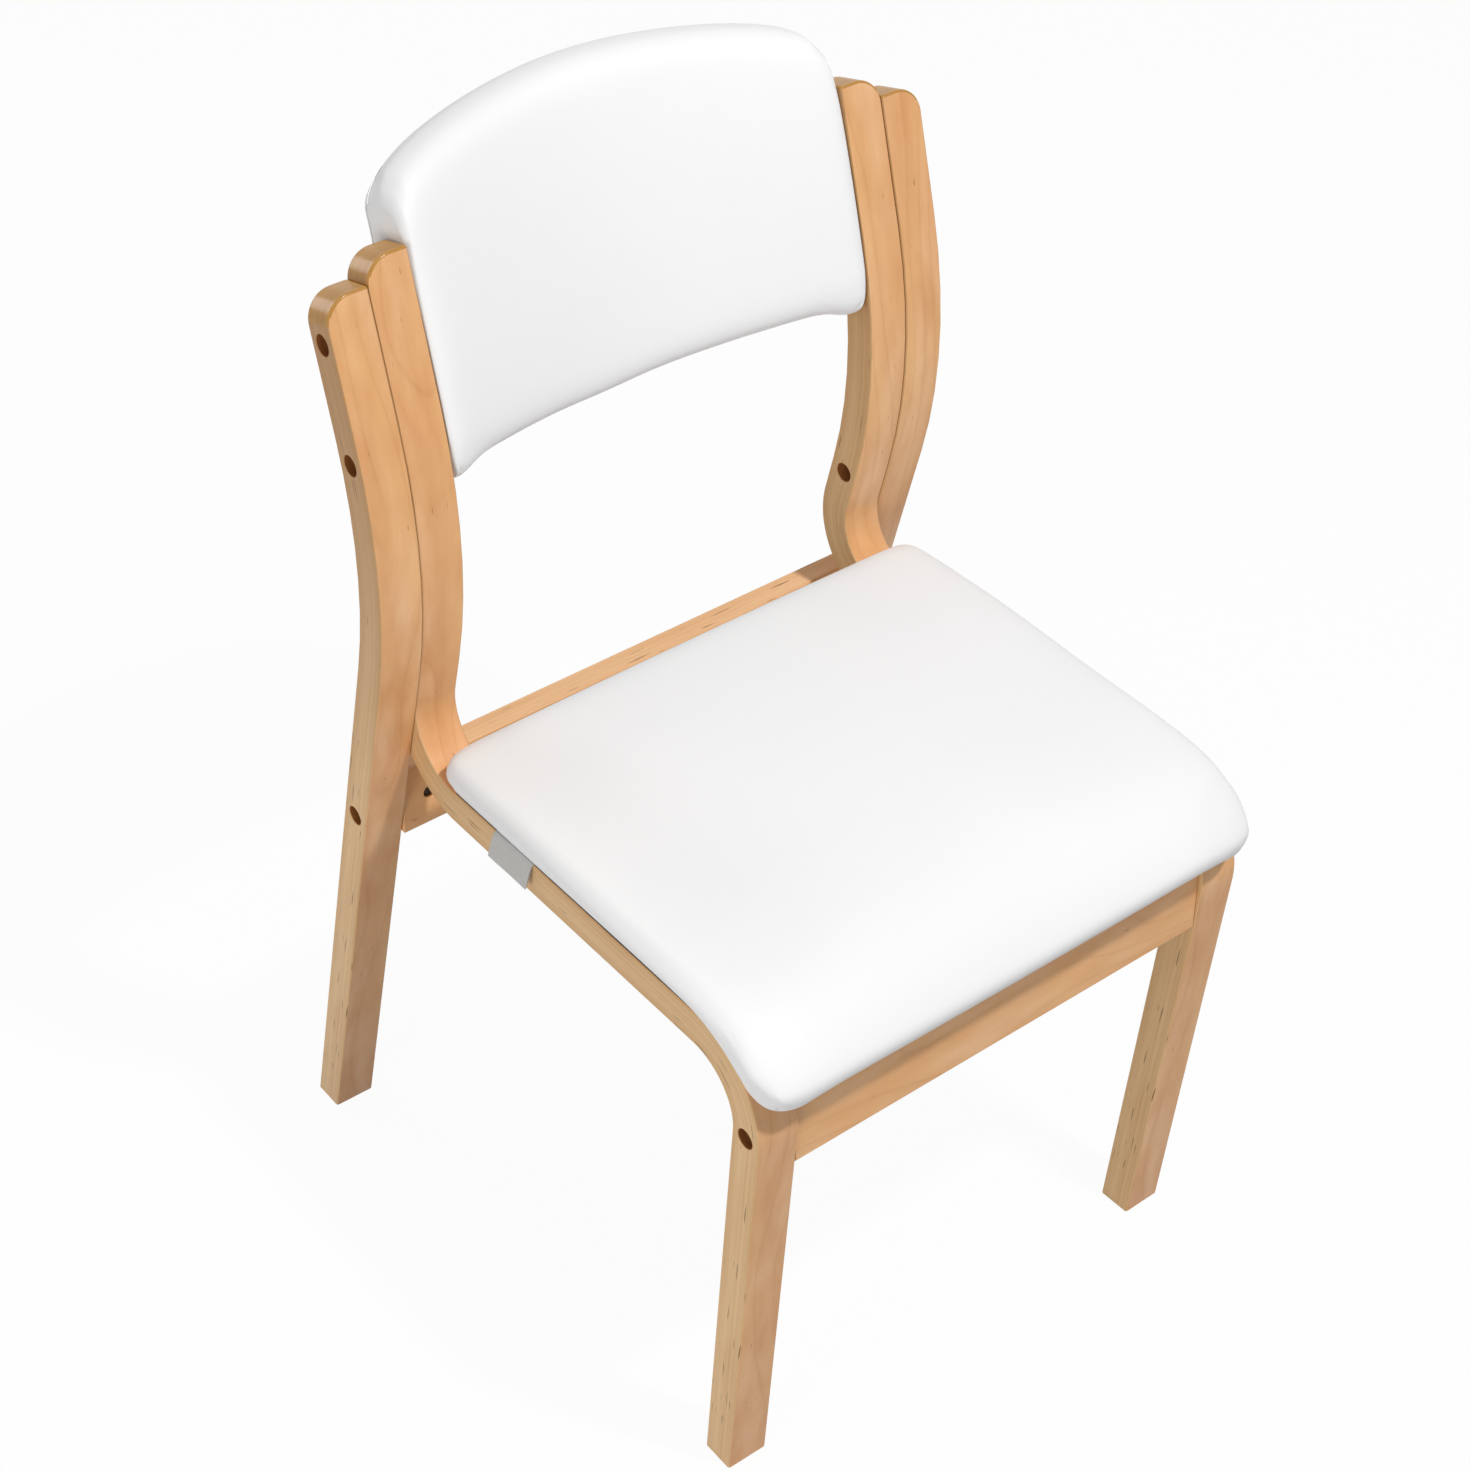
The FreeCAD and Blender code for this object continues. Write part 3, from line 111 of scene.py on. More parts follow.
def summed(tree, *parts):
    """Sum of sources, each times its share."""
    scaled = [maths(tree, "MULTIPLY", source, share) for source, share in parts]
    total = scaled[0]
    for part in scaled[1:]:
        total = maths(tree, "ADD", total, part)
    return total


def blend(tree, factor, first, second):
    """Two colours mixed by a factor."""
    return add(tree, "ShaderNodeMix", {0: factor, 6: first, 7: second}, data_type="RGBA").outputs[2]


def spread(tree, value, low, high, to_low=0.0, to_high=1.0):
    """A value carried from one range to another, and held inside it."""
    ends = {"Value": value, "From Min": low, "From Max": high, "To Min": to_low, "To Max": to_high}
    return add(tree, "ShaderNodeMapRange", ends).outputs["Result"]


def colour(red, green, blue):
    """A colour given as it looks on screen, as the linear one that shaders take."""
    def straight(part):
        part /= 255
        return part / 12.92 if part <= 0.04045 else ((part + 0.055) / 1.055) ** 2.4
    return (straight(red), straight(green), straight(blue), 1.0)


print("a middle grey on screen is", round(colour(128, 128, 128)[0], 3), "to a shader")

# %% [markdown]
# ## Groups and materials
# A pattern that several finishes share is kept in a node group. Each group is told a place and a few
# colours, and gives a colour, a roughness and a height. The shader itself stays in the material, where
# its other values are set.

# %% Group and material helpers
GIVES = {"Color": "NodeSocketColor", "Roughness": "NodeSocketFloat", "Height": "NodeSocketFloat"}


def new_group(name, takes):
    """Empty group that takes a place and more, with its two end nodes."""
    tree = bpy.data.node_groups.new(name, "ShaderNodeTree")
    tree.interface.new_socket("Place", in_out="INPUT", socket_type="NodeSocketVector")
    for words, start in takes.items():
        kind = "NodeSocketFloat" if isinstance(start, float) else "NodeSocketColor"
        tree.interface.new_socket(words, in_out="INPUT", socket_type=kind).default_value = start
    for words, kind in GIVES.items():
        tree.interface.new_socket(words, in_out="OUTPUT", socket_type=kind)
    return tree, tree.nodes.new("NodeGroupInput").outputs, tree.nodes.new("NodeGroupOutput")


def new_material(name):
    """Material with a Principled shader, its tree and the shader."""
    material = bpy.data.materials.new(name)
    material.use_nodes = True
    tree = material.node_tree
    return material, tree, tree.nodes["Principled BSDF"]


def own_place(tree):
    """Place on the object, in metres."""
    return add(tree, "ShaderNodeTexCoord").outputs["Object"]


def noise(tree, place, scale, detail):
    return add(tree, "ShaderNodeTexNoise", {"Vector": place, "Scale": scale, "Detail": detail}).outputs["Fac"]


def bump(tree, height, strength, distance):
    relief = {"Height": height, "Strength": strength, "Distance": distance}
    return add(tree, "ShaderNodeBump", relief).outputs[0]


def dress(tree, shader, group, inputs, strength, distance):
    """Feed a shader with the colour, roughness and relief of a group."""
    grain = add(tree, "ShaderNodeGroup", inputs, node_tree=group).outputs
    relief = bump(tree, grain["Height"], strength, distance)
    feed(tree, shader, {"Base Color": grain["Color"], "Roughness": grain["Roughness"], "Normal": relief})
    return grain["Color"]


print("each group gives", list(GIVES))

# %% [markdown]
# ## Veneer
# The strips are glued up from thin birch veneers. Their broad faces show one clear sheet of veneer, a
# warm tan with faint long streaks and flecks. A picture of wood could be laid on, but noise that is drawn
# out along the grain never repeats. It reads a map whose first axis runs along the piece, in metres, so
# the grain turns with the wood.

# %% Veneer face


def drawn_noise(tree, place, along, across, detail, seed):
    """Noise drawn out along the grain; along and across are features per metre."""
    squeeze = add(tree, "ShaderNodeMapping", {"Vector": place, "Scale": (along, across, across),
                                              "Location": (seed, 0.37 * seed, 0.0)})
    return noise(tree, squeeze.outputs[0], 1.0, detail)


def make_veneer():
    tree, given, out = new_group("veneer", {
        "Light": colour(244, 196, 149), "Gold": colour(238, 185, 128), "Dark": colour(220, 160, 107),
        "Fleck": 0.5})
    place = given["Place"]
    cloud = drawn_noise(tree, place, 7, 26, 2.0, 3.1)
    patch = drawn_noise(tree, place, 24, 75, 2.0, 9.2)
    hue = drawn_noise(tree, place, 10, 34, 1.0, 12.6)
    fibre = drawn_noise(tree, place, 24, 1100, 3.0, 7.7)
    drift = drawn_noise(tree, place, 3, 14, 1.0, 5.0)
    speck = drawn_noise(tree, place, 70, 420, 1.0, 5.5)
    across = add(tree, "ShaderNodeSeparateXYZ", {0: place}).outputs["Y"]
    rings = summed(tree, (across, 34.0), (drift, 7.0))
    rings = maths(tree, "POWER", maths(tree, "PINGPONG", rings, 0.5), 3.0)
    tone = summed(tree, (cloud, 0.55), (patch, 0.3), (fibre, 0.09), (rings, 0.42))
    pale = blend(tree, spread(tree, hue, 0.35, 0.65), given["Light"], given["Gold"])
    base = blend(tree, spread(tree, tone, 0.35, 0.63), pale, given["Dark"])
    line = maths(tree, "MULTIPLY", spread(tree, rings, 0.085, 0.125), 0.14)
    base = blend(tree, line, base, colour(190, 128, 76))
    flecks = maths(tree, "MULTIPLY", spread(tree, speck, 0.748, 0.788), given["Fleck"])
    feed(tree, out, {"Color": blend(tree, flecks, base, colour(142, 92, 48)),
                     "Roughness": spread(tree, patch, 0.3, 0.7, 0.36, 0.46), "Height": fibre})
    return tree


veneer = make_veneer()
print("veneer group:", len(veneer.nodes), "nodes")

# %% [markdown]
# ## Layered edge
# The edges of strips and boards are cut across the veneers. Every layer shows as a fine line that follows
# the bend, with short dark dashes where a layer has a gap. The layers are counted by dividing the map's
# second axis by the thickness of one veneer, and each one gets a tone of its own.

# %% Layered edge


def make_layers():
    tree, given, out = new_group("layers", {"Light": colour(240, 203, 152), "Dark": colour(212, 166, 113),
                                            "Layer": 0.0014, "Dash": 0.8})
    place = given["Place"]
    across = add(tree, "ShaderNodeSeparateXYZ", {0: place}).outputs["Y"]
    drift = drawn_noise(tree, place, 6, 30, 2.0, 4.4)
    fibre = drawn_noise(tree, place, 22, 1500, 3.0, 2.6)
    cloud = drawn_noise(tree, place, 8, 60, 2.0, 6.1)
    level = maths(tree, "DIVIDE", across, given["Layer"])
    level = maths(tree, "ADD", level, maths(tree, "MULTIPLY", drift, 0.7))
    number, within = maths(tree, "FLOOR", level), maths(tree, "FRACT", level)
    sheet_tone = add(tree, "ShaderNodeTexWhiteNoise", {"W": number}, noise_dimensions="1D").outputs["Value"]
    tone = summed(tree, (sheet_tone, 0.24), (fibre, 0.34), (cloud, 0.55))
    base = blend(tree, spread(tree, tone, 0.25, 0.9), given["Light"], given["Dark"])
    glue = spread(tree, maths(tree, "ABSOLUTE", maths(tree, "SUBTRACT", within, 0.5)), 0.38, 0.5)
    broken = spread(tree, drawn_noise(tree, place, 16, 800, 1.0, 8.1), 0.44, 0.64)
    line = maths(tree, "MULTIPLY", maths(tree, "MULTIPLY", glue, broken), 0.24)
    dash = spread(tree, drawn_noise(tree, place, 34, 620, 0.0, 6.3), 0.755, 0.785)
    marks = maths(tree, "MAXIMUM", line, maths(tree, "MULTIPLY", dash, given["Dash"]))
    height = maths(tree, "SUBTRACT", maths(tree, "MULTIPLY", fibre, 0.4), marks)
    feed(tree, out, {"Color": blend(tree, marks, base, colour(104, 68, 38)),
                     "Roughness": spread(tree, fibre, 0.3, 0.7, 0.4, 0.5), "Height": height})
    return tree


layers = make_layers()
print("layers group:", len(layers.nodes), "nodes")

# %% [markdown]
# ## Lacquered birch
# The wood has a thin clear lacquer. Its face, its edge, the golden top of a post and the brown wall of a
# hole are the same wood cut in other ways, so one function makes them all from the two groups. The edges
# of the strips are painted darker and browner towards the top. This is painted shade: the posts get less
# light than the legs, which the floor lights from below.

# %% Wood materials
# heights over which painted shade darkens the wood, from none low down to its full share near the tops
TOP_SHADE_LOW, TOP_SHADE_HIGH = 0.36, 0.72
GRAIN_DEEP, LACQUER_HAZE = 0.0004, 0.22
WOOD_GLOSS = {"IOR": 1.45, "Specular IOR Level": 0.2}


def wood_material(name, group, colours, relief, lacquer, top_shade=0.0, haze=LACQUER_HAZE):
    """Lacquered wood on the piece's own map, from one of the two groups. Painted shade makes it darker and
    browner high up.
    """
    material, tree, shader = new_material(name)
    uv = add(tree, "ShaderNodeUVMap", uv_map="grain").outputs[0]
    shade = dress(tree, shader, group, {"Place": uv, **colours}, relief, GRAIN_DEEP)
    # painted shade: the wood is blended towards a darker brown the higher it is
    if top_shade:
        height = add(tree, "ShaderNodeSeparateXYZ", {0: own_place(tree)}).outputs["Z"]
        share = spread(tree, height, TOP_SHADE_LOW, TOP_SHADE_HIGH, 0.0, top_shade)
        feed(tree, shader, {"Base Color": blend(tree, share, shade, colour(156, 106, 56))})
    feed(tree, shader, {"Coat Weight": lacquer, "Coat Roughness": haze, **WOOD_GLOSS})
    return material


birch_face = wood_material("birch_face", veneer, {}, 0.05, 0.15)
birch_edge = wood_material("birch_edge", layers, {}, 0.2, 0.12, top_shade=0.6)
birch_end = wood_material("birch_end", layers, {"Light": colour(198, 146, 70), "Dark": colour(168, 117, 48),
                                                "Dash": 0.1, "Layer": 0.0027}, 0.002, 0.4, haze=0.17)
bored_wood = wood_material("bored_wood", layers, {"Light": colour(176, 112, 60), "Dark": colour(128, 76, 34),
                                                  "Dash": 0.2}, 0.3, 0.0)
board_face = wood_material("board_face", veneer, {"Light": colour(250, 200, 149), "Gold": colour(246, 190, 130),
                                                  "Dark": colour(234, 174, 118)}, 0.05, 0.15)
board_edge = wood_material("board_edge", layers, {"Light": colour(252, 208, 160), "Dark": colour(234, 178, 126),
                                                  "Layer": 0.0018, "Dash": 0.9}, 0.2, 0.12)
WOODS = (birch_face, birch_edge, birch_end, bored_wood)
BOARD_WOODS = (board_face, board_edge, birch_end, bored_wood)
FACE, EDGE, END, BORED = range(4)
print("wood:", [material.name for material in WOODS + BOARD_WOODS[:2]])

# %% [markdown]
# ## Bent strips
# Each side has two strips. The outer one is the rear leg and the back post. The inner one is the front
# leg, the side rail and a second post. A strip could be a curve with a bevel, but a section that is
# pushed along straight runs and spun round the bends keeps its faces square and its edges clean, so the
# round-over of the edges and the holes can follow.

# %% Sizes of the sides
STRIP_WIDE, STRIP_THICK = 0.033, 0.027
EDGE_ROUND, POST_CORNER = 0.0017, 0.020
HALF_DEPTH = 0.2825
LEG_SPREAD = 0.480
FRONT_LEAN, REAR_LEAN, POST_LEAN = (math.radians(angle) for angle in (5.8, 15.9, 13.9))
RAIL_Z = 0.411
SEAT_BEND, BACK_BEND = 0.054, 0.374
UPRIGHT_Z = 0.614
OUTER_TOP, INNER_TOP = 0.795, 0.810
POST_STEP = 0.001
JOINT_X = 0.2095
TOE_IN = math.radians(0.66)

REAR_FOOT = HALF_DEPTH - STRIP_THICK / 2 / math.cos(REAR_LEAN)
FRONT_FACE = HALF_DEPTH - STRIP_THICK / math.cos(REAR_LEAN) - LEG_SPREAD
FRONT_FOOT = FRONT_FACE + STRIP_THICK / 2 / math.cos(FRONT_LEAN)
UPRIGHT_Y = REAR_FOOT - math.tan(REAR_LEAN) * UPRIGHT_Z + BACK_BEND / math.cos(REAR_LEAN)
KNEE_Z = RAIL_Z - SEAT_BEND
KNEE_Y = FRONT_FOOT - math.tan(FRONT_LEAN) * KNEE_Z + SEAT_BEND / math.cos(FRONT_LEAN)
HEEL_Z = RAIL_Z + SEAT_BEND
HEEL_Y = REAR_FOOT + POST_STEP - math.tan(REAR_LEAN) * HEEL_Z - SEAT_BEND / math.cos(REAR_LEAN)
print("rear foot", round(REAR_FOOT, 4), "front foot", round(FRONT_FOOT, 4))

# %% [markdown]
# ## Lines of the strips
# Seen from the side, a strip is a row of straight lines and round bends. Only the ends and the centres of
# the bends are written down, with the radius and the hand of each bend. The legs start a little under the
# floor, so that their feet can be sawn off level.

# %% Lines of the strips
WASTE = -0.015


def rear_line(z):
    return REAR_FOOT - math.tan(REAR_LEAN) * z


def front_line(z):
    return FRONT_FOOT - math.tan(FRONT_LEAN) * z


def bend_line(z):
    return UPRIGHT_Y - math.sqrt(BACK_BEND ** 2 - (z - UPRIGHT_Z) ** 2)


def post_line(z):
    return UPRIGHT_Y - BACK_BEND / math.cos(POST_LEAN) + math.tan(POST_LEAN) * (z - UPRIGHT_Z)


REAR_ROUTE = [(rear_line(WASTE), WASTE),
              (UPRIGHT_Y, UPRIGHT_Z, BACK_BEND, -1),
              (post_line(OUTER_TOP), OUTER_TOP)]
FRONT_ROUTE = [(front_line(WASTE), WASTE),
               (KNEE_Y, KNEE_Z, SEAT_BEND, -1),
               (HEEL_Y, HEEL_Z, SEAT_BEND, 1),
               (UPRIGHT_Y + POST_STEP, UPRIGHT_Z, BACK_BEND, -1),
               (post_line(INNER_TOP) + POST_STEP, INNER_TOP)]
print("tops lean back to", round(REAR_ROUTE[-1][0], 4), "and", round(FRONT_ROUTE[-1][0], 4))

# %% [markdown]
# ## Route of a strip
# A straight run touches the bend at each of its ends. From the ends and centres, the route works out
# where each run and each turn starts, and how far along it a point lies. That length is needed twice, for
# the shape and for the map that the grain follows.

# %% Route of a strip


def ahead_of(heading):
    return Vector((0, math.cos(heading), math.sin(heading)))


def left_of(heading):
    return Vector((0, -math.sin(heading), math.cos(heading)))


def trace(route):
    """Straight runs and turns of a route, each with the length where it starts."""
    stops = [(Vector((0, y, z)), bend[1] * bend[0] if bend else 0.0) for y, z, *bend in route]
    runs = []
    for (here, reach), (there, next_reach) in zip(stops, stops[1:]):
        gap = there - here
        heading = math.atan2(gap.z, gap.y) - math.asin((next_reach - reach) / gap.length)
        runs.append((here - left_of(heading) * reach, there - left_of(heading) * next_reach, heading))
    steps, length = [], 0.0
    for i, (start, end, heading) in enumerate(runs):
        steps.append(("run", length, start, end, heading))
        length += (end - start).length
        if i + 1 < len(runs):
            centre, reach = stops[i + 1]
            angle = runs[i + 1][2] - heading
            steps.append(("turn", length, centre, reach, heading, angle))
            length += abs(reach * angle)
    return steps


def along(steps, y, z):
    """How far along a route a point is, and how far to the left of it."""
    best = None
    for step in steps:
        if step[0] == "run":
            _, length, start, end, heading = step
            place = Vector((0, y, z)) - start
            there, off = place.dot(ahead_of(heading)), place.dot(left_of(heading))
            outside = max(-there, there - (end - start).length, 0.0)
        else:
            _, length, centre, reach, heading, angle = step
            place = Vector((0, y, z)) - centre
            hand = math.copysign(1, reach)
            turned = math.atan2(place.z, place.y) - (heading - hand * math.pi / 2)
            there = ((turned + math.pi) % math.tau - math.pi) * reach
            off = reach - hand * place.length
            outside = max(-there, there - abs(reach * angle), 0.0)
        score = outside + 0.01 * abs(off)
        if best is None or score < best[0]:
            best = (score, length + there, off)
    return best[1], best[2]


rear_steps, front_steps = trace(REAR_ROUTE), trace(FRONT_ROUTE)
print("steps:", [step[0] for step in front_steps])

# %% [markdown]
# ## Section along the route
# In the workshop the glued veneers are pressed round a former. Here a rectangle is extruded along each
# run and spun round each turn. The foot is sawn off at the floor, the top's outward corner is rounded,
# and every long edge is eased, because no real edge is quite sharp.

# %% Push the section along its route
TURN_STEP = math.radians(4)
NEAR = 1e-4


def pick(geometry, kind):
    return [item for item in geometry if isinstance(item, kind)]


def round_off(bm, edges, radius, segments, material=-1):
    bmesh.ops.bevel(bm, geom=edges, offset=radius, segments=segments, profile=0.5, affect="EDGES",
                    material=material)


def push_section(steps, x_low, x_high):
    """Closed bar whose rectangle follows the route."""
    bm = bmesh.new()
    _, _, start, _, heading = steps[0]
    left = left_of(heading) * STRIP_THICK / 2
    ring = [bm.verts.new(start + Vector((x, 0, 0)) + left * hand)
            for x, hand in ((x_low, -1), (x_high, -1), (x_high, 1), (x_low, 1))]
    edges = [bm.edges.new((ring[i], ring[(i + 1) % 4])) for i in range(4)]
    for step in steps:
        if step[0] == "run":
            grown = bmesh.ops.extrude_edge_only(bm, edges=edges)["geom"]
            ring = pick(grown, bmesh.types.BMVert)
            bmesh.ops.translate(bm, verts=ring, vec=step[3] - step[2])
        else:
            _, _, centre, _, _, angle = step
            count = max(4, round(abs(angle) / TURN_STEP))
            grown = bmesh.ops.spin(bm, geom=ring + edges, cent=centre, axis=(1, 0, 0), angle=angle,
                                   steps=count)["geom_last"]
            ring = pick(grown, bmesh.types.BMVert)
        edges = pick(grown, bmesh.types.BMEdge)
    bmesh.ops.bisect_plane(bm, geom=bm.verts[:] + bm.edges[:] + bm.faces[:], plane_co=(0, 0, 0),
                           plane_no=(0, 0, 1), clear_inner=True)
    bmesh.ops.holes_fill(bm, edges=[edge for edge in bm.edges if edge.is_boundary], sides=0)
    bmesh.ops.recalc_face_normals(bm, faces=bm.faces[:])
    return bm


def round_edges(bm, outer_x):
    """Round the outward corner of the post's top, then ease every edge above the floor."""
    top = max(vert.co.z for vert in bm.verts) - STRIP_THICK
    corner = [edge for edge in bm.edges
              if all(abs(vert.co.x - outer_x) < 1e-5 and vert.co.z > top for vert in edge.verts)
              and edge.calc_face_angle(0) > 1 and abs(edge.calc_length() - STRIP_THICK) < NEAR]
    round_off(bm, corner, POST_CORNER, 10)
    sharp = [edge for edge in bm.edges
             if edge.calc_face_angle(0) > 0.8 and max(vert.co.z for vert in edge.verts) > NEAR]
    round_off(bm, sharp, EDGE_ROUND, 3)


print(f"bends turn in steps of {math.degrees(TURN_STEP):.0f} degrees, edges are eased {EDGE_ROUND * 1000} mm")

# %% [markdown]
# ## Meshes and objects
# Shapes are made in a bmesh, put into an object, and at times taken out again for more work. Modifiers
# are applied as soon as they are set, so that the next step can work on the finished mesh.

# %% Object helpers


def as_object(name, bm):
    """Object that takes over a bmesh."""
    mesh = bpy.data.meshes.new(name)
    bm.to_mesh(mesh)
    bm.free()
    made = bpy.data.objects.new(name, mesh)
    scene.collection.objects.link(made)
    return made


def opened(piece):
    """A piece's mesh, opened for work."""
    bm = bmesh.new()
    bm.from_mesh(piece.data)
    return bm


def put_back(bm, piece):
    bm.to_mesh(piece.data)
    bm.free()


def settle(piece):
    """Apply a piece's modifiers to its mesh."""
    bpy.context.view_layer.update()
    shape = piece.evaluated_get(bpy.context.evaluated_depsgraph_get())
    old = piece.data
    piece.data = bpy.data.meshes.new_from_object(shape)
    piece.modifiers.clear()
    bpy.data.meshes.remove(old)


def sharpen(piece, angle=30):
    """Smooth shading that stays crisp at real edges and even on broad flats."""
    piece.data.set_sharp_from_angle(angle=math.radians(angle))
    even = piece.modifiers.new("even", "WEIGHTED_NORMAL")
    even.keep_sharp = True
    settle(piece)


def hand_over(piece, slot, *nodes):
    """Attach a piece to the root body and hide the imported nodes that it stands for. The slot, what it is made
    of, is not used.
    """
    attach(piece, "root")
    if nodes:
        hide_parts(*nodes)


# %% [markdown]
# ## Bolt holes
# The bolts sit in sunk holes in the edge faces of the strips. A hole is a stepped cutter, a wide barrel
# for the head and a thin one for the shank, taken away with a Boolean. Its rim is eased like other edges.

# %% Cutters
HOLE_WIDE, HOLE_DEEP, BORE, RIM = 0.0075, 0.014, 0.0033, 0.0006
HEAD_SIDES, BORE_SIDES = 48, 16
OVERSHOOT = 0.001


def drill(bm, start, end, radius, sides):
    """Round bar between two points."""
    way = end - start
    turn = Vector((0, 0, 1)).rotation_difference(way).to_matrix().to_4x4()
    bmesh.ops.create_cone(bm, cap_ends=True, segments=sides, radius1=radius, radius2=radius, depth=way.length,
                          matrix=Matrix.Translation((start + end) / 2) @ turn)


def stepped_hole(bm, mouth, way, deep, reach):
    """Hole with a wide mouth, so deep, and a bore that goes on as far as its reach."""
    at = [Vector([m + w * far for m, w in zip(mouth, way)]) for far in (-OVERSHOOT, deep, reach + OVERSHOOT)]
    drill(bm, at[0], at[1], HOLE_WIDE, HEAD_SIDES)
    drill(bm, at[1] - Vector(way) * OVERSHOOT, at[2], BORE, BORE_SIDES)


def take_away(piece, cutter_bm, woods):
    """Cut the bars of a bmesh out of a piece, and mark the walls of the holes."""
    for face in cutter_bm.faces:
        face.material_index = BORED
    cutter = as_object("cutter", cutter_bm)
    for material in woods:
        piece.data.materials.append(material)
        cutter.data.materials.append(material)
    hole = piece.modifiers.new("holes", "BOOLEAN")
    hole.operation, hole.solver, hole.material_mode = "DIFFERENCE", "EXACT", "INDEX"
    hole.use_self = True
    hole.object = cutter
    settle(piece)
    bpy.data.objects.remove(cutter)


def ease_rims(bm):
    """Break the sharp rim where a wide hole meets the face of the wood."""
    rims = [edge for edge in bm.edges if len(edge.link_faces) == 2
            and sorted(face.material_index == BORED for face in edge.link_faces) == [False, True]
            and edge.calc_face_angle(0) > 1]
    round_off(bm, rims, RIM, 2, EDGE)


print(f"holes are {HOLE_WIDE * 2000} mm wide and {HOLE_DEEP * 1000} mm deep")

# %% [markdown]
# ## Finish and map of the wood
# Each face of a strip or board gets its finish by the way it looks: clear veneer, layered edge or the end
# of a post. Its map runs along the grain. An unwrap would break the grain at the bends, so the map is
# written from the route instead.

# %% Finish and map
SIDEWAYS, END_FACING = 0.5, 0.12


def lay_map(piece, choose):
    """Ease the rims of the holes, and give every face its finish and its map."""
    bm = opened(piece)
    ease_rims(bm)
    uv = bm.loops.layers.uv.new("grain")
    for face in bm.faces:
        face.smooth = True
        finish, spot = choose(face)
        if face.material_index != BORED:
            face.material_index = finish
        for loop in face.loops:
            loop[uv].uv = spot(loop.vert.co)
    put_back(bm, piece)


def strip_finish(steps):
    """Chooser for a strip that follows a route."""
    end, end_way = steps[-1][3], ahead_of(steps[-1][4])

    def choose(face):
        past = (face.calc_center_median() - end).dot(end_way)
        if past > -POST_CORNER and face.normal.dot(end_way) > END_FACING:
            return END, lambda co: (co.x, along(steps, co.y, co.z)[1])
        if abs(face.normal.x) > SIDEWAYS:
            return EDGE, lambda co: along(steps, co.y, co.z)
        return FACE, lambda co: (along(steps, co.y, co.z)[0], co.x)
    return choose


def board_finish(face):
    """Chooser for a straight board on edge."""
    if abs(face.normal.z) > SIDEWAYS or abs(face.normal.x) > SIDEWAYS:
        return EDGE, lambda co: (co.x, co.y)
    return FACE, lambda co: (co.x, co.z)


print("finishes:", [material.name for material in WOODS])

# %% [markdown]
# ## Four strips
# Both sides are alike, so one function makes a strip at its joint and then stands it in its place. The
# sides toe in a little towards the back. Two bolts per side go through both posts into the back, one joins
# the posts, one holds each rail, and two come up through the side rail into the seat.

# %% Four strips
BACK_BOLT_LOW = (bend_line(0.686), 0.686)
BACK_BOLT_HIGH = (post_line(0.765), 0.765)
JOINT_BOLT = (rear_line(0.507), 0.507)
REAR_BOLT = (rear_line(0.3655), 0.3655)
FRONT_BOLT = (front_line(0.3545), 0.3545)
SEAT_BOLTS = (FRONT_FACE + 0.070, FRONT_FACE + 0.250)
SEAT_BOLT_IN, SEAT_HOLE_DEEP = 0.020, 0.012
RAIL_LOW, RAIL_HIGH = RAIL_Z - STRIP_THICK / 2, RAIL_Z + STRIP_THICK / 2


def side_place(side):
    return Matrix.Translation((side * JOINT_X, 0, 0)) @ Matrix.Rotation(side * TOE_IN, 4, "Z")


def side_strip(node, side, outward, steps, sunk, bored=(), seat_bolts=()):
    """One strip, bored, mapped and stood in its place."""
    low, high = sorted((0.0, outward * STRIP_WIDE))
    bm = push_section(steps, low, high)
    round_edges(bm, max(low * side, high * side) * side)
    piece = as_object(node.replace("_leg_", "_bent_"), bm)
    cutters = bmesh.new()
    for spot, mouth, inwards in sunk:
        stepped_hole(cutters, (mouth, *spot), (inwards, 0, 0), HOLE_DEEP, STRIP_WIDE)
    for spot in bored:
        start = Vector((low - OVERSHOOT, *spot))
        drill(cutters, start, start + Vector((STRIP_WIDE + 2 * OVERSHOOT, 0, 0)), BORE, BORE_SIDES)
    for y in seat_bolts:
        stepped_hole(cutters, (-side * SEAT_BOLT_IN, y, RAIL_LOW), (0, 0, 1), SEAT_HOLE_DEEP, STRIP_THICK)
    take_away(piece, cutters, WOODS)
    lay_map(piece, strip_finish(steps))
    piece.data.transform(side_place(side))
    sharpen(piece)
    hand_over(piece, "wood", node)
    return piece


for word, side in (("left", -1), ("right", 1)):
    face = side * STRIP_WIDE
    post = side_strip(f"{word}_rear_leg_post", side, side, rear_steps,
                      [(spot, face, -side) for spot in (BACK_BOLT_LOW, BACK_BOLT_HIGH, REAR_BOLT)])
    rail = side_strip(f"{word}_front_leg_rail", side, -side, front_steps,
                      [(FRONT_BOLT, 0.0, -side), (JOINT_BOLT, -face, side)],
                      (BACK_BOLT_LOW, BACK_BOLT_HIGH), SEAT_BOLTS)
    print(post.name, len(post.data.polygons), rail.name, len(rail.data.polygons), "faces")

# %% [markdown]
# ## Cross rails
# The rails are plywood boards on edge. Their faces are veneer and their top and bottom edges show the
# layers. The ends are cut a little off square, because the sides toe in towards the back, and stop just
# short of the sides, so that the joint shows as a fine line.

# %% Cross rails
BOARD_THICK, FRONT_HIGH, REAR_HIGH = 0.020, 0.069, 0.0555
BARREL_IN, BARREL_RADIUS, BARREL_DEEP = 0.024, 0.00515, 0.0175
JOINT_GAP = 0.0005


def side_face(out, y):
    """X of a plane of the right side, out from the joint of its strips."""
    return JOINT_X + (out - y * math.sin(TOE_IN)) / math.cos(TOE_IN)


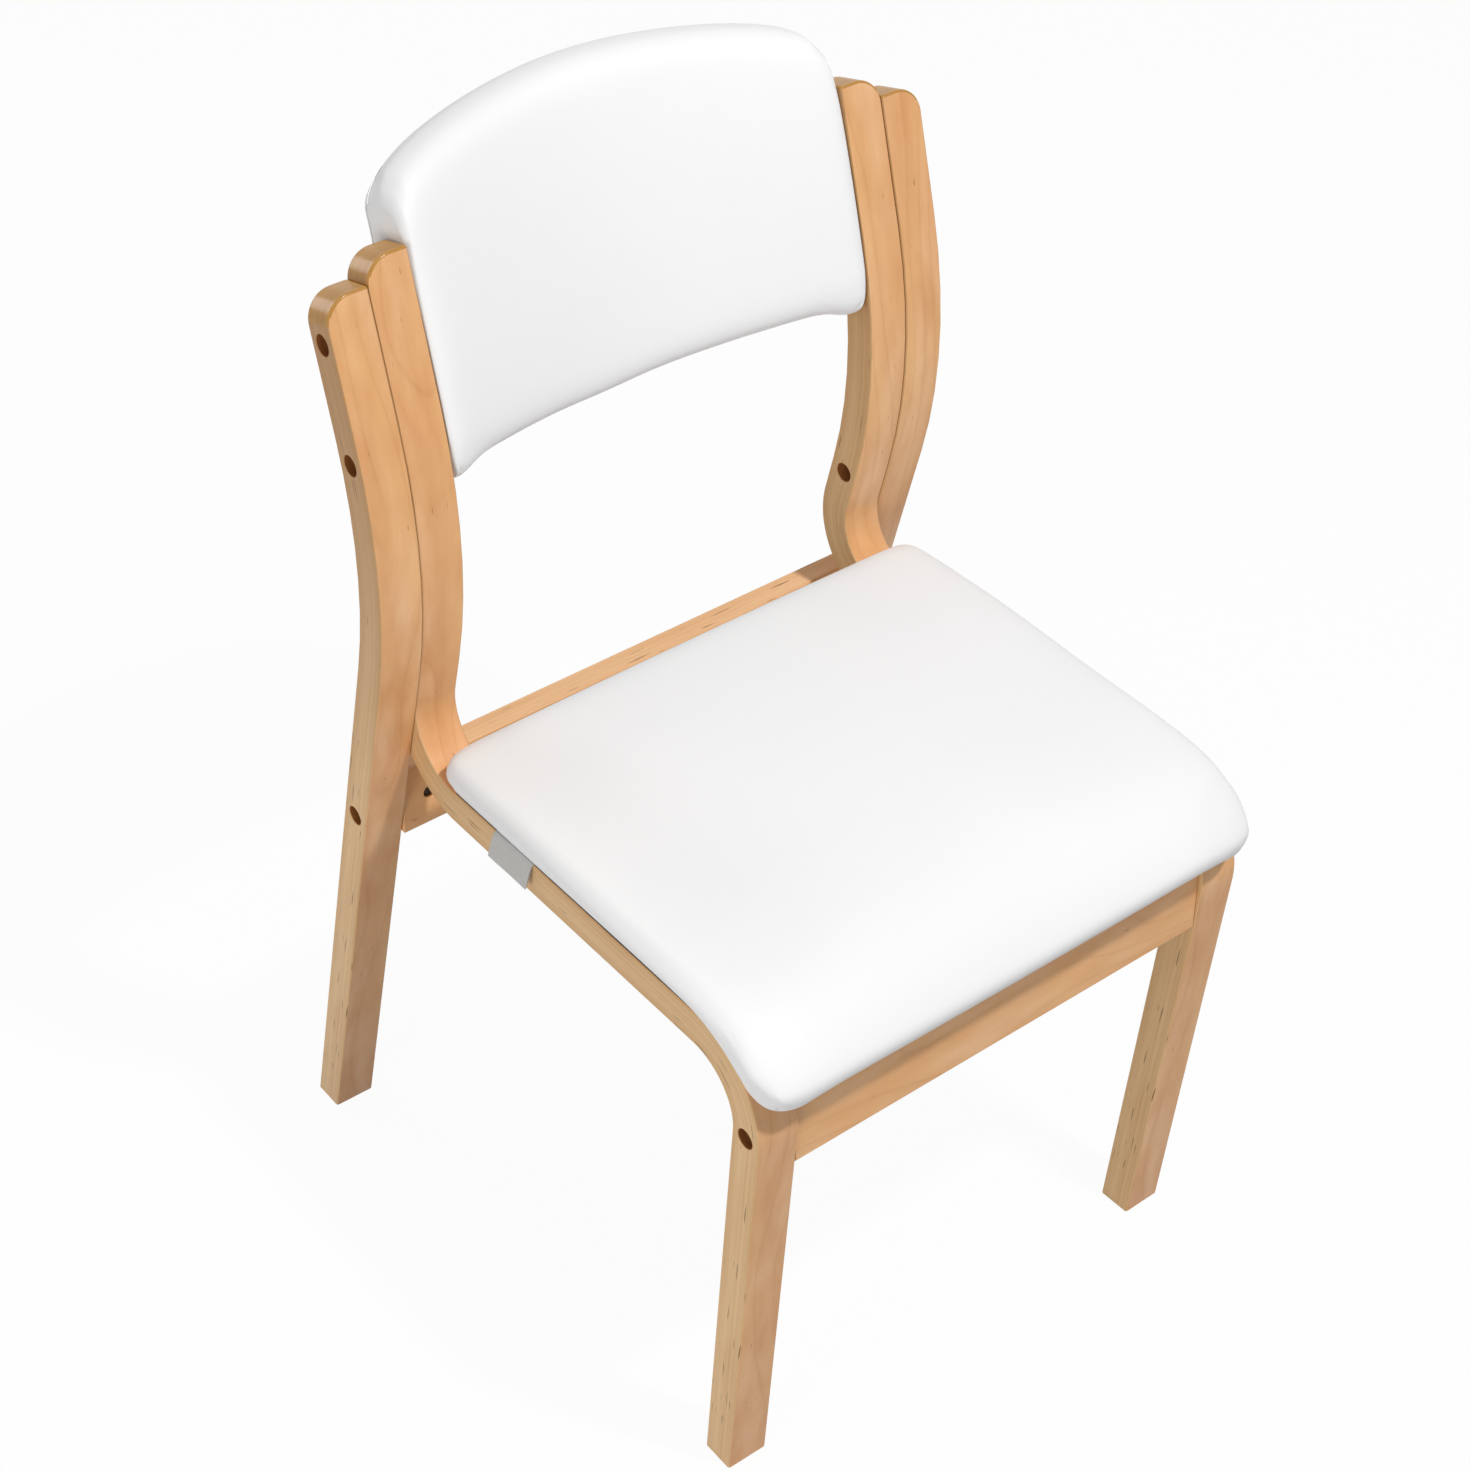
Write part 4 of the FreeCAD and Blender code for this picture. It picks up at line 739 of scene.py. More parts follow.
def cross_rail(node, spot, height, out, nut_side):
    """Board between the sides, with a hole for a barrel nut near each end."""
    y, z = spot
    bm = bmesh.new()
    bmesh.ops.create_cube(bm, size=1.0)
    for vert in bm.verts:
        here = y + vert.co.y * BOARD_THICK
        end = side_face(out, here) - JOINT_GAP
        vert.co = Vector((math.copysign(end, vert.co.x), here, z + vert.co.z * height))
    long = [edge for edge in bm.edges if abs(edge.verts[0].co.x - edge.verts[1].co.x) > BOARD_THICK]
    round_off(bm, long, EDGE_ROUND, 3)
    piece = as_object(node.replace("_rail", "_board"), bm)
    cutters = bmesh.new()
    mouth = y + nut_side * (BOARD_THICK / 2 + OVERSHOOT)
    for side in (-1, 1):
        ends = [side_place(side) @ Vector((side * (out - BARREL_IN), depth, z))
                for depth in (mouth, mouth - nut_side * (BARREL_DEEP + OVERSHOOT))]
        drill(cutters, *ends, BARREL_RADIUS, HEAD_SIDES)
    take_away(piece, cutters, BOARD_WOODS)
    lay_map(piece, board_finish)
    sharpen(piece)
    hand_over(piece, "wood", node)
    return piece


front_board = cross_rail("front_rail", FRONT_BOLT, FRONT_HIGH, -STRIP_WIDE, 1)
rear_board = cross_rail("rear_rail", REAR_BOLT, REAR_HIGH, 0.0, -1)
print("rails:", front_board.dimensions.to_tuple(3), rear_board.dimensions.to_tuple(3))

# %% [markdown]
# ## White vinyl
# The covers are a smooth, semi-matte vinyl with a very fine grain that only shows close up. The grain is
# bump, because it is far finer than the mesh.

# %% Vinyl


def make_soft_grain():
    tree, given, out = new_group("soft_grain", {"Light": colour(248, 248, 248), "Dark": colour(246, 246, 247)})
    place = given["Place"]
    cells = add(tree, "ShaderNodeTexVoronoi", {"Vector": place, "Scale": 900.0, "Randomness": 1.0},
                feature="DISTANCE_TO_EDGE").outputs["Distance"]
    haze, fine = noise(tree, place, 5.0, 2.0), noise(tree, place, 1400.0, 2.0)
    pebbles = maths(tree, "ADD", spread(tree, cells, 0.0, 0.25), maths(tree, "MULTIPLY", fine, 0.4))
    feed(tree, out, {"Color": blend(tree, spread(tree, haze, 0.35, 0.65), given["Light"], given["Dark"]),
                     "Roughness": spread(tree, haze, 0.3, 0.7, 0.5, 0.58), "Height": pebbles})
    return tree


def make_vinyl():
    material, tree, shader = new_material("white_vinyl")
    dress(tree, shader, make_soft_grain(), {"Place": own_place(tree)}, 0.08, 0.0002)
    feed(tree, shader, {"Specular IOR Level": 0.2, "Sheen Weight": 0.05})
    return material


white_vinyl = make_vinyl()
print("vinyl:", len(white_vinyl.node_tree.nodes), "nodes")

# %% [markdown]
# ## Cages
# Both pads start as a cage, a box with loops cut across it, closer together near its edges. Subdivision
# makes a cage smooth but also shrinks it. So its points are moved until the smooth surface, and not the
# cage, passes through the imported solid.

# %% Cage helpers


def from_edges(low, high, steps):
    """Places at the given distances in from both ends."""
    return [low + step for step in steps] + [high - step for step in reversed(steps)]


def cut_box(low, high, cuts):
    """Box with loops cut across it at given places on each axis."""
    bm = bmesh.new()
    bmesh.ops.create_cube(bm, size=1.0)
    bmesh.ops.transform(bm, verts=bm.verts[:], matrix=Matrix.Translation((low + high) / 2)
                        @ Matrix.Diagonal((*(high - low), 1)))
    for axis, places in enumerate(cuts):
        normal = Vector([float(i == axis) for i in range(3)])
        for place in places:
            bmesh.ops.bisect_plane(bm, geom=bm.verts[:] + bm.edges[:] + bm.faces[:], plane_co=normal * place,
                                   plane_no=normal)
    return bm


def add_smooth(piece, levels):
    smooth = piece.modifiers.new("smooth", "SUBSURF")
    smooth.levels = smooth.render_levels = levels


def draw_onto(cage, nodes, levels=2, rounds=4):
    """Move a cage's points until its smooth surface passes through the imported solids."""
    bm = bmesh.new()
    for node in nodes:
        bm.from_mesh(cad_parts[node].data)
    bmesh.ops.remove_doubles(bm, verts=bm.verts[:], dist=1e-6)
    solid = BVHTree.FromBMesh(bm)
    bm.free()
    goals = [solid.find_nearest(vert.co)[0] for vert in cage.data.vertices]
    add_smooth(cage, levels)
    for _ in range(rounds):
        bpy.context.view_layer.update()
        shape = cage.evaluated_get(bpy.context.evaluated_depsgraph_get()).data
        misses = [goal - vert.co for goal, vert in zip(goals, shape.vertices)]
        for vert, miss in zip(cage.data.vertices, misses):
            vert.co += miss
        cage.data.update()
    settle(cage)


print("loops near an edge:", from_edges(0.0, 1.0, [0.1, 0.3]))

# %% [markdown]
# ## Soft shaping
# Wadding under tight vinyl swells a little and rounds off every corner of the foam. Points are moved out
# along their normals and smoothed a number of times, but held where the vinyl is pulled tight. A cloth
# simulation could do this too, but these covers have no folds to find.

# %% Soft shaping helpers


def ease(low, high, value):
    """Smooth step from 0 to 1."""
    share = min(max((value - low) / (high - low), 0.0), 1.0)
    return share * share * (3 - 2 * share)


def smooth_points(bm, points, rounds):
    for _ in range(rounds):
        bmesh.ops.smooth_vert(bm, verts=points, factor=0.5, use_axis_x=True, use_axis_y=True, use_axis_z=True)


def relax(pad, swell, rounds, held):
    """Swell a pad along its normals and let it relax, apart from where it is held."""
    bm = opened(pad)
    bm.normal_update()
    before = [vert.co.copy() for vert in bm.verts]
    for vert in bm.verts:
        vert.co += swell * vert.normal
    smooth_points(bm, bm.verts[:], rounds)
    for vert, old in zip(bm.verts, before):
        vert.co = vert.co.lerp(old, held(old))
    put_back(bm, pad)


def shade_smooth(piece, material):
    """One finish, smooth all over."""
    for face in piece.data.polygons:
        face.use_smooth = True
    piece.data.materials.append(material)


def finish_pad(pad, fill, *nodes):
    """Give a pad white vinyl, shaded smooth, and hide the imported nodes that it stands for. The fill is not
    used.
    """
    shade_smooth(pad, white_vinyl)
    hand_over(pad, "vinyl", *nodes)


print("half way up a smooth step:", ease(0, 1, 0.5))

# %% [markdown]
# ## Lines of the seat
# The seat is foam on a bent panel, with the vinyl pulled round it and under. It is flat where it lies on
# the rails, and falls over the knees of the front legs. Two lines along its middle say where its top and
# its underside are.

# %% Lines of the seat
seat_low, seat_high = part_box("seat_cover")
SEAT_GAP = 0.0003
SEAT_BASE = RAIL_HIGH + SEAT_GAP
SEAT_LEVEL_Y = -HALF_DEPTH + 0.107
SEAT_FALL = 0.136
UNDER_BEND = SEAT_BEND + STRIP_THICK / 2 + SEAT_GAP
UNDER_REACH = 0.9 * UNDER_BEND


def seat_top(y):
    """Height of the seat's top along its middle."""
    past = max(0.0, SEAT_LEVEL_Y - y)
    return seat_high.z - SEAT_FALL + math.sqrt(SEAT_FALL ** 2 - past ** 2)


def seat_underside(y):
    """Height of the seat's underside, which follows the knee."""
    past = min(max(0.0, KNEE_Y - y), UNDER_REACH)
    return SEAT_BASE - UNDER_BEND + math.sqrt(UNDER_BEND ** 2 - past ** 2)


print("seat thickness in the middle:", round(seat_top(0.0) - seat_underside(0.0), 4))

# %% [markdown]
# ## Pull of the vinyl
# Tight vinyl changes the shape of the foam. The sides fall a little towards the nose, folded wadding fills
# the front corners, and the lower walls are tucked in above the rails. They could be sculpted by hand, but
# each move is a small push that fades out smoothly, so it can be tuned against the photograph.

# %% Pull of the vinyl
FALL_REAR, FALL_FRONT, FALL_MIDDLE = 0.0012, 0.0062, 0.45
FALL_Y, NOSE_Y, FALL_X, FALL_RISE = (-0.150, 0.010), (-0.264, -0.180), (0.05, 0.17), (0.004, 0.030)
CORNER_SPOT, CORNER_PUSH = Vector((0.206, -0.262, 0.392)), Vector((0.0, -0.0012, -0.0066))
CORNER_REACH, CORNER_WIDER, CORNER_HEM, CORNER_ROUNDS = 0.032, 1.6, 0.006, 12
TUCK, TUCK_RISE, TUCK_X = 0.0026, (0.008, 0.034), (0.180, 0.200)
TRIM, TRIM_Y, TRIM_Z = Vector((0, 0.0016, 0.0022)), (-0.265, -0.225), (0.400, 0.440)


def lower_sides(seat):
    """Let the top fall a little towards the nose, most along the sides, where the foam is pulled down."""
    for vert in seat.data.vertices:
        x, y, z = vert.co
        fall = FALL_REAR + FALL_FRONT * (1 - ease(*FALL_Y, y))
        fall *= ease(*NOSE_Y, y) * (FALL_MIDDLE + (1 - FALL_MIDDLE) * ease(*FALL_X, abs(x)))
        vert.co.z -= fall * ease(*FALL_RISE, z - seat_underside(y))


def fill_corners(seat):
    """Fuller front corners, where folded wadding hangs a little lower, smoothed again."""
    bm = opened(seat)
    near = []
    for vert in bm.verts:
        away = (Vector((abs(vert.co.x), vert.co.y, vert.co.z)) - CORNER_SPOT).length / CORNER_REACH
        vert.co += CORNER_PUSH * math.exp(-away ** 2)
        if away < CORNER_WIDER and vert.co.z > seat_underside(vert.co.y) + CORNER_HEM:
            near.append(vert)
    smooth_points(bm, near, CORNER_ROUNDS)
    put_back(bm, seat)


def tuck_hem(seat):
    """Draw the lower walls in: a fine gap shows above the rails, and the nose ends above the front board."""
    for vert in seat.data.vertices:
        low = 1 - ease(*TUCK_RISE, vert.co.z - seat_underside(vert.co.y))
        vert.co.x -= math.copysign(TUCK * low * ease(*TUCK_X, abs(vert.co.x)), vert.co.x)
        vert.co += TRIM * (1 - ease(*TRIM_Y, vert.co.y)) * (1 - ease(*TRIM_Z, vert.co.z))


print(f"the sides fall up to {(FALL_REAR + FALL_FRONT) * 1000:.1f} mm, the hem is tucked {TUCK * 1000} mm")

# %% [markdown]
# ## Padded seat
# The cage is bent to the two lines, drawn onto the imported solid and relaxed. The pull of the vinyl comes
# next, and one last subdivision makes the surface fine enough for its highlights.

# %% Seat
SEAT_SWELL, SEAT_ROUNDS, SEAT_HELD = 0.0040, 28, (0.003, 0.012)
PAD_FILL = 0.9


def make_seat():
    across = from_edges(seat_low.x, seat_high.x, [0.004, 0.012, 0.026, 0.055, 0.120]) + [0.0]
    lengthwise = [seat_low.y + step for step in (0.005, 0.016, 0.036, 0.065, 0.100, 0.145, 0.200, 0.260)]
    lengthwise += [seat_high.y - step for step in (0.075, 0.042, 0.022, 0.010, 0.004)]
    tall = seat_high.z - seat_low.z
    bm = cut_box(seat_low, seat_high, (across, lengthwise, [seat_low.z + 0.2 * i * tall for i in (1, 2, 3, 4)]))
    for vert in bm.verts:
        share = (vert.co.z - seat_low.z) / tall
        under = seat_underside(vert.co.y)
        vert.co.z = under + share * (seat_top(vert.co.y) - under)
    seat = as_object("seat_pad", bm)
    draw_onto(seat, ("seat_cover", "seat_dust_cover"))
    relax(seat, SEAT_SWELL, SEAT_ROUNDS, lambda co: 1 - ease(*SEAT_HELD, co.z - seat_underside(co.y)))
    lower_sides(seat)
    fill_corners(seat)
    tuck_hem(seat)
    add_smooth(seat, 1)
    settle(seat)
    finish_pad(seat, PAD_FILL, "seat_cover", "seat_foam")
    return seat


seat_pad = make_seat()
print("seat pad:", len(seat_pad.data.polygons), "faces", seat_pad.dimensions.to_tuple(3))

# %% [markdown]
# ## Frame of the back
# The back leans with the posts, and is bowed round the sitter under an arched top. Working in its own
# leaning frame keeps the sums simple: X across, Y from front to rear and Z up along the back.

# %% Frame of the back
BACK_LEAN = math.radians(14.8)
BACK_PLACE = Vector((0, *((low + high) / 2 for low, high in zip(BACK_BOLT_LOW, BACK_BOLT_HIGH))))
BACK_FRAME = Matrix.Translation(BACK_PLACE) @ Matrix.Rotation(-BACK_LEAN, 4, "X")
BACK_FRONT, BACK_REAR = -0.015, 0.034
BACK_TOP, BACK_BOTTOM = 0.1545, -0.073
BACK_BOW, BACK_ARCH = 0.450, 0.532
BACK_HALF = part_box("back_cover")[1].x


def sag(radius, x):
    """How far a round of a radius falls away at x."""
    return radius - math.sqrt(radius ** 2 - x ** 2)


def back_depth(co):
    """How far back a point is in the pad, as if the bow were flat."""
    local = BACK_FRAME.inverted() @ co
    return local.y - sag(BACK_BOW, BACK_HALF) + sag(BACK_BOW, min(abs(local.x), BACK_HALF))


print("the bow is", round(sag(BACK_BOW, BACK_HALF), 4), "deep, the arch", round(sag(BACK_ARCH, BACK_HALF), 4))

# %% [markdown]
# ## Lower edge of the back
# The lower edge of the vinyl is drawn up between its corners. The corners hang a little, because the vinyl
# is gathered there, and are smoothed. Where the hard panel inside would show through, the pad is pushed
# out, as wadding would do.

# %% Lower edge of the back
SOFT_SPOTS, SOFT_ROUNDS = ((0.010, 0.034), (BACK_FRONT + 0.003, 0.022)), 10
HEM_LIFT, HEM_HANG = 0.0038, 0.0048
HEM_Z, HEM_X = (BACK_BOTTOM + 0.006, BACK_BOTTOM + 0.050), (BACK_HALF - 0.028, BACK_HALF - 0.006)
DIP_X, DIP_WIDE, HEM_DIP = -0.028, 0.034, 0.0015
SPARE, ROOM = 0.0005, 0.012


def hang_corners(back):
    """Draw the lower edge up between the corners, and let the gathered corners hang below it."""
    for vert in back.data.vertices:
        local = BACK_FRAME.inverted() @ vert.co
        corner = ease(*HEM_X, abs(local.x))
        lift = HEM_LIFT * (1 - corner) - HEM_HANG * corner
        lift -= HEM_DIP * math.exp(-((local.x - DIP_X) / DIP_WIDE) ** 2)
        vert.co += BACK_FRAME.to_3x3() @ Vector((0, 0, lift * (1 - ease(*HEM_Z, local.z))))


def soften_corners(back):
    """Smooth the lower corners, where the vinyl is gathered."""
    bm = opened(back)
    for depth, reach in SOFT_SPOTS:
        spots = [BACK_FRAME @ Vector((side * BACK_HALF, depth, BACK_BOTTOM)) for side in (-1, 1)]
        near = [vert for vert in bm.verts if min((vert.co - spot).length for spot in spots) < reach]
        smooth_points(bm, near, SOFT_ROUNDS)
    put_back(bm, back)


def keep_between(piece):
    """Hold a piece between the posts."""
    for vert in piece.data.vertices:
        vert.co.x = min(max(vert.co.x, -BACK_HALF), BACK_HALF)


def make_room(pad, node):
    """Push a pad out where a hard piece inside it would show through."""
    bm = opened(pad)
    skin = BVHTree.FromBMesh(bm)
    bm.free()
    pushes = []
    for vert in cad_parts[node].data.vertices:
        near, normal, _, _ = skin.find_nearest(vert.co)
        out = (vert.co - near).dot(normal)
        if out > -SPARE:
            pushes.append((near, normal * (out + SPARE)))
    for vert in pad.data.vertices:
        moves = [push * math.exp(-((vert.co - near).length / ROOM) ** 2) for near, push in pushes]
        vert.co += max(moves, key=lambda move: move.length, default=Vector())
    print(pad.name, "made room at", len(pushes), "points of", node)


print(f"the lower edge rises {HEM_LIFT * 1000} mm and its corners hang {HEM_HANG * 1000} mm")

# %% [markdown]
# ## Padded back
# The cage is bowed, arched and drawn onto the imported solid, then relaxed, but held at the rear, where the
# seam is. The lower edge is shaped before the last subdivision, and its corners are smoothed once more
# after it.

# %% Back
BACK_SWELL, BACK_ROUNDS, BACK_HELD = 0.0032, 14, (BACK_REAR - 0.024, BACK_REAR - 0.012)


def make_back():
    low, high = Vector((-BACK_HALF, BACK_FRONT, BACK_BOTTOM)), Vector((BACK_HALF, BACK_REAR, BACK_TOP))
    across = from_edges(-BACK_HALF, BACK_HALF, [0.002, 0.008, 0.020, 0.045, 0.085]) + [0.0, -0.045, 0.045]
    deep = [BACK_FRONT + step for step in (0.006, 0.016)]
    deep += [BACK_REAR - step for step in (0.014, 0.006, 0.0015)]
    upwards = from_edges(BACK_BOTTOM, BACK_TOP, [0.005, 0.015, 0.030, 0.060]) + [0.02, 0.06]
    bm = cut_box(low, high, (across, deep, upwards))
    for vert in bm.verts:
        x, y, z = vert.co
        share = (z - BACK_BOTTOM) / (BACK_TOP - BACK_BOTTOM)
        vert.co.y = y + sag(BACK_BOW, BACK_HALF) - sag(BACK_BOW, x)
        vert.co.z = z - share * sag(BACK_ARCH, x)
    bm.transform(BACK_FRAME)
    back = as_object("back_pad", bm)
    draw_onto(back, ("back_cover", "back_rear_cover"))
    relax(back, BACK_SWELL, BACK_ROUNDS, lambda co: ease(*BACK_HELD, back_depth(co)))
    hang_corners(back)
    soften_corners(back)
    add_smooth(back, 1)
    settle(back)
    soften_corners(back)
    keep_between(back)
    make_room(back, "back_panel")
    finish_pad(back, PAD_FILL, "back_cover", "back_foam")
    return back


back_pad = make_back()
print("back pad:", len(back_pad.data.polygons), "faces", back_pad.dimensions.to_tuple(3))

# %% [markdown]
# ## Rear sheet of the back
# A second piece of vinyl closes the rear of the back and is sewn to the front cover just inside its rear
# edge. It is made from the rear faces of the pad itself, lifted by the thickness of the vinyl, so that
# its hem shows as a fine line. At the sides it ends on the rear round, as the side walls belong to the
# front cover.

# %% Rear sheet
HEM_IN, SIDE_CLEAR = 0.0062, 0.0016
VINYL_THICK, SHEET_LIFT, SHEET_ANGLE = 0.0006, 0.0002, 50


def thicken(piece, thick, offset=-1.0):
    wall = piece.modifiers.new("wall", "SOLIDIFY")
    wall.thickness, wall.offset = thick, offset
    settle(piece)


def make_rear_sheet():
    bm = opened(back_pad)
    bm.normal_update()
    spots = {face: face.calc_center_median() for face in bm.faces}
    front = [face for face, spot in spots.items()
             if back_depth(spot) < BACK_REAR - HEM_IN or abs(spot.x) > BACK_HALF - SIDE_CLEAR]
    bmesh.ops.delete(bm, geom=front, context="FACES")
    for vert in bm.verts:
        vert.co += SHEET_LIFT * vert.normal
    area = sum(face.calc_area() for face in bm.faces)
    sheet = as_object("back_rear_sheet", bm)
    thicken(sheet, VINYL_THICK, 1.0)
    keep_between(sheet)
    shade_smooth(sheet, white_vinyl)
    sharpen(sheet, SHEET_ANGLE)
    hand_over(sheet, "vinyl", "back_rear_cover")
    return sheet


rear_sheet = make_rear_sheet()
print("rear sheet:", len(rear_sheet.data.polygons), "faces")

# %% [markdown]
# ## Dust cover
# A thin felted cloth covers the seat's underside and the turned hem of the vinyl. It is carried out between
# the seat and the side rails, where its dark edge shows as a fine dark line. That line is painted shade,
# standing in for the shaded gap under the seat's edge. The cloth is stapled and sags a little between the
# staples. A grid that follows the underside is enough, given a thickness.

# %% Dust cover
DUST_HALF, DUST_FRONT, DUST_BACK = 0.170, KNEE_Y - 0.045, 0.078
# painted shade: the dark cloth stops only this far inside the rails' outer faces, so its edge shows as a dark
# line
SHADE_LINE_INSET, DUST_SAG, DUST_GAP = 0.0014, 0.004, 0.0001
FELT_THICK = 0.0006


def make_felt_and_shade_line():
    material, tree, shader = new_material("dust_felt_and_shade_line")
    place = own_place(tree)
    fibres = noise(tree, place, 900.0, 4.0)
    dots = add(tree, "ShaderNodeTexVoronoi", {"Vector": place, "Scale": 700.0}).outputs["Distance"]
    # dark felt: the cloth under the seat, and along the rails painted shade
    feed(tree, shader, {"Base Color": blend(tree, fibres, colour(58, 58, 60), colour(84, 84, 86)),
                        "Roughness": spread(tree, fibres, 0.3, 0.7, 0.8, 0.95),
                        "Normal": bump(tree, dots, 0.4, 0.0003)})
    return material


def make_dust_cover():
    bm = bmesh.new()
    middle, half = (DUST_FRONT + DUST_BACK) / 2, (DUST_BACK - DUST_FRONT) / 2
    bmesh.ops.create_grid(bm, x_segments=60, y_segments=48, size=1.0)
    for vert in bm.verts:
        y = middle + half * vert.co.y
        # painted shade: the sheet reaches out to the rails, past the cloth's real size, to paint the shaded gap
        # there
        x = vert.co.x * (side_face(0.0, y) - SHADE_LINE_INSET)
        sink = DUST_SAG * max(0.0, 1 - (x / DUST_HALF) ** 2) * (1 - vert.co.y ** 2)
        vert.co = Vector((x, y, seat_underside(y) - DUST_GAP - sink))
    area = sum(face.calc_area() for face in bm.faces)
    cover = as_object("seat_dust_sheet", bm)
    thicken(cover, FELT_THICK)
    shade_smooth(cover, make_felt_and_shade_line())
    hand_over(cover, "dust_cloth", "seat_dust_cover")
    return cover


dust_cover = make_dust_cover()
print("dust cover:", dust_cover.dimensions.to_tuple(3))

# %% [markdown]
# ## Tag
# A small woven tag is tucked under the left edge of the seat and sticks out over the rail. It is one stiff
# strip of cloth folded in two at its lower edge. A grid is folded by moving its points along the path of
# the strip: out of the gap, over the round of the rail, and down to the fold. It carries no marks.

# %% Tag
TAG_WIDE, TAG_THICK, TAG_GAP, TAG_WAVE = 0.045, 0.0005, 0.0007, 0.0003
FOLD_TIGHT = 8
TAG_Y = FRONT_FACE + 0.231
TAG_PATH = [Vector((out, 0, up)) for out, up in ((0.0040, 0.0004), (0.0012, 0.0005), (-0.0008, -0.0012),
                                                (-0.0033, -0.0080), (-0.0066, -0.0172))]


def make_woven():
    material, tree, shader = new_material("woven_tag")
    place = own_place(tree)
    parts = add(tree, "ShaderNodeSeparateXYZ", {0: place}).outputs
    warp, weft = (maths(tree, "PINGPONG", maths(tree, "MULTIPLY", parts[axis], 1400.0), 0.5) for axis in "YZ")
    weave, slub = maths(tree, "ADD", warp, weft), noise(tree, place, 240.0, 3.0)
    tone = summed(tree, (weave, 0.5), (slub, 0.6))
    feed(tree, shader, {"Base Color": blend(tree, tone, colour(190, 188, 184), colour(210, 209, 206)),
                        "Roughness": spread(tree, slub, 0.3, 0.7, 0.62, 0.78),
                        "Normal": bump(tree, weave, 0.3, 0.0003)})
    return material


def tag_spot(share):
    """Place along the tag's path, from the gap to the fold."""
    step = min(share * (len(TAG_PATH) - 1), len(TAG_PATH) - 1.000001)
    return TAG_PATH[int(step)].lerp(TAG_PATH[int(step) + 1], step % 1)


def make_tag():
    bm = bmesh.new()
    bmesh.ops.create_grid(bm, x_segments=24, y_segments=64, size=1.0)
    for vert in bm.verts:
        share, fold = (vert.co.x + 1) / 2, vert.co.y
        spot = tag_spot(1 - abs(fold))
        spot.x += TAG_GAP * (1 - math.copysign(min(1.0, FOLD_TIGHT * abs(fold)), fold)) / 2 - TAG_GAP
        spot.y = TAG_Y + (share - 0.5) * TAG_WIDE
        spot.z += RAIL_HIGH + TAG_WAVE * math.sin(5 * share)
        vert.co = spot
    bmesh.ops.recalc_face_normals(bm, faces=bm.faces[:])
    bm.transform(side_place(-1))
    tag = as_object("plain_tag", bm)
    thicken(tag, TAG_THICK, 0.0)
    shade_smooth(tag, make_woven())
    sharpen(tag, SHEET_ANGLE)
    hand_over(tag, "tag_cloth", "side_tag")
    return tag


plain_tag = make_tag()
print("tag:", plain_tag.dimensions.to_tuple(4))

# %% [markdown]
# ## Hidden and small pieces
# Bolts, nuts, dowels and panels keep their imported shapes, which need no finer form. Steel and raw plywood
# get finishes of their own. The barrel nuts' steel is darkened with painted shade, as they sit deep in their
# holes.

# %% Steel and raw wood


def make_zinc(name, dull, bright):
    material, tree, shader = new_material(name)
    cloud = noise(tree, own_place(tree), 260.0, 4.0)
    feed(tree, shader, {"Base Color": blend(tree, cloud, dull, bright), "Metallic": 1.0,
                        "Roughness": spread(tree, cloud, 0.3, 0.7, 0.28, 0.45)})
    return material


def make_raw_wood():
    material, tree, shader = new_material("raw_plywood")
    grain = add(tree, "ShaderNodeGroup", {"Place": own_place(tree), "Light": colour(222, 190, 146),
                                          "Dark": colour(190, 150, 104)}, node_tree=veneer)
    feed(tree, shader, {"Base Color": grain.outputs["Color"], "Roughness": 0.75})
    return material


zinc = make_zinc("zinc", colour(150, 148, 142), colour(186, 186, 184))
# painted shade: the barrel nuts' steel is made dark for the depth of their holes
shaded_nut_steel = make_zinc("shaded_nut_steel", colour(40, 32, 26), colour(62, 50, 40))
FINISHES = {
    zinc: ["front_rail_bolts", "rear_rail_bolts", "seat_bolts", "seat_nuts", "back_bolts", "back_nuts",
           "post_joint_bolts", "post_joint_nuts"],
    shaded_nut_steel: ["front_rail_barrel_nuts", "rear_rail_barrel_nuts"],
    make_raw_wood(): ["front_rail_dowels", "rear_rail_dowels", "seat_panel", "back_panel", "back_left_cleat",
                      "back_right_cleat"],
}
for finish, nodes in FINISHES.items():
    for node in nodes:
        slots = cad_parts[node].data.materials
        slots.clear()
        slots.append(finish)
print("finished", sum(len(nodes) for nodes in FINISHES.values()), "hidden nodes")

# %% [markdown]
# ## Staples
# Steel staples hold the dust cover along all four sides. Only their crowns show, so each one is a small
# eased bar. They are set out evenly along each side, and one mesh holds them all.

# %% Staples
STAPLE, STAPLE_ROUND = Vector((0.0100, 0.0012, 0.0007)), 0.0002
STAPLE_STEP, STAPLE_IN, STAPLE_DOWN = 0.034, 0.006, 0.0009


def make_staples():
    bm = bmesh.new()
    middle, half_y = (KNEE_Y + DUST_BACK) / 2, (DUST_BACK - KNEE_Y) / 2 - STAPLE_IN
    half_x, level = DUST_HALF - STAPLE_IN, RAIL_HIGH - STAPLE_DOWN
    for half, other, turned in ((half_x, half_y, False), (half_y, half_x, True)):
        count = round(2 * half / STAPLE_STEP)
        turn = Matrix.Rotation(math.pi / 2 if turned else 0.0, 4, "Z")
        for i in range(count):
            run = -half + (i + 0.5) * 2 * half / count
            for side in (-1, 1):
                x, y = (side * other, run) if turned else (run, side * other)
                place = Matrix.Translation((x, middle + y, level)) @ turn @ Matrix.Diagonal((*STAPLE, 1))
                bmesh.ops.create_cube(bm, size=1.0, matrix=place)
    round_off(bm, bm.edges[:], STAPLE_ROUND, 2)
    staples = as_object("dust_cover_staples", bm)
    staples.data.materials.append(zinc)
    sharpen(staples)
    hand_over(staples, "steel")
    return staples


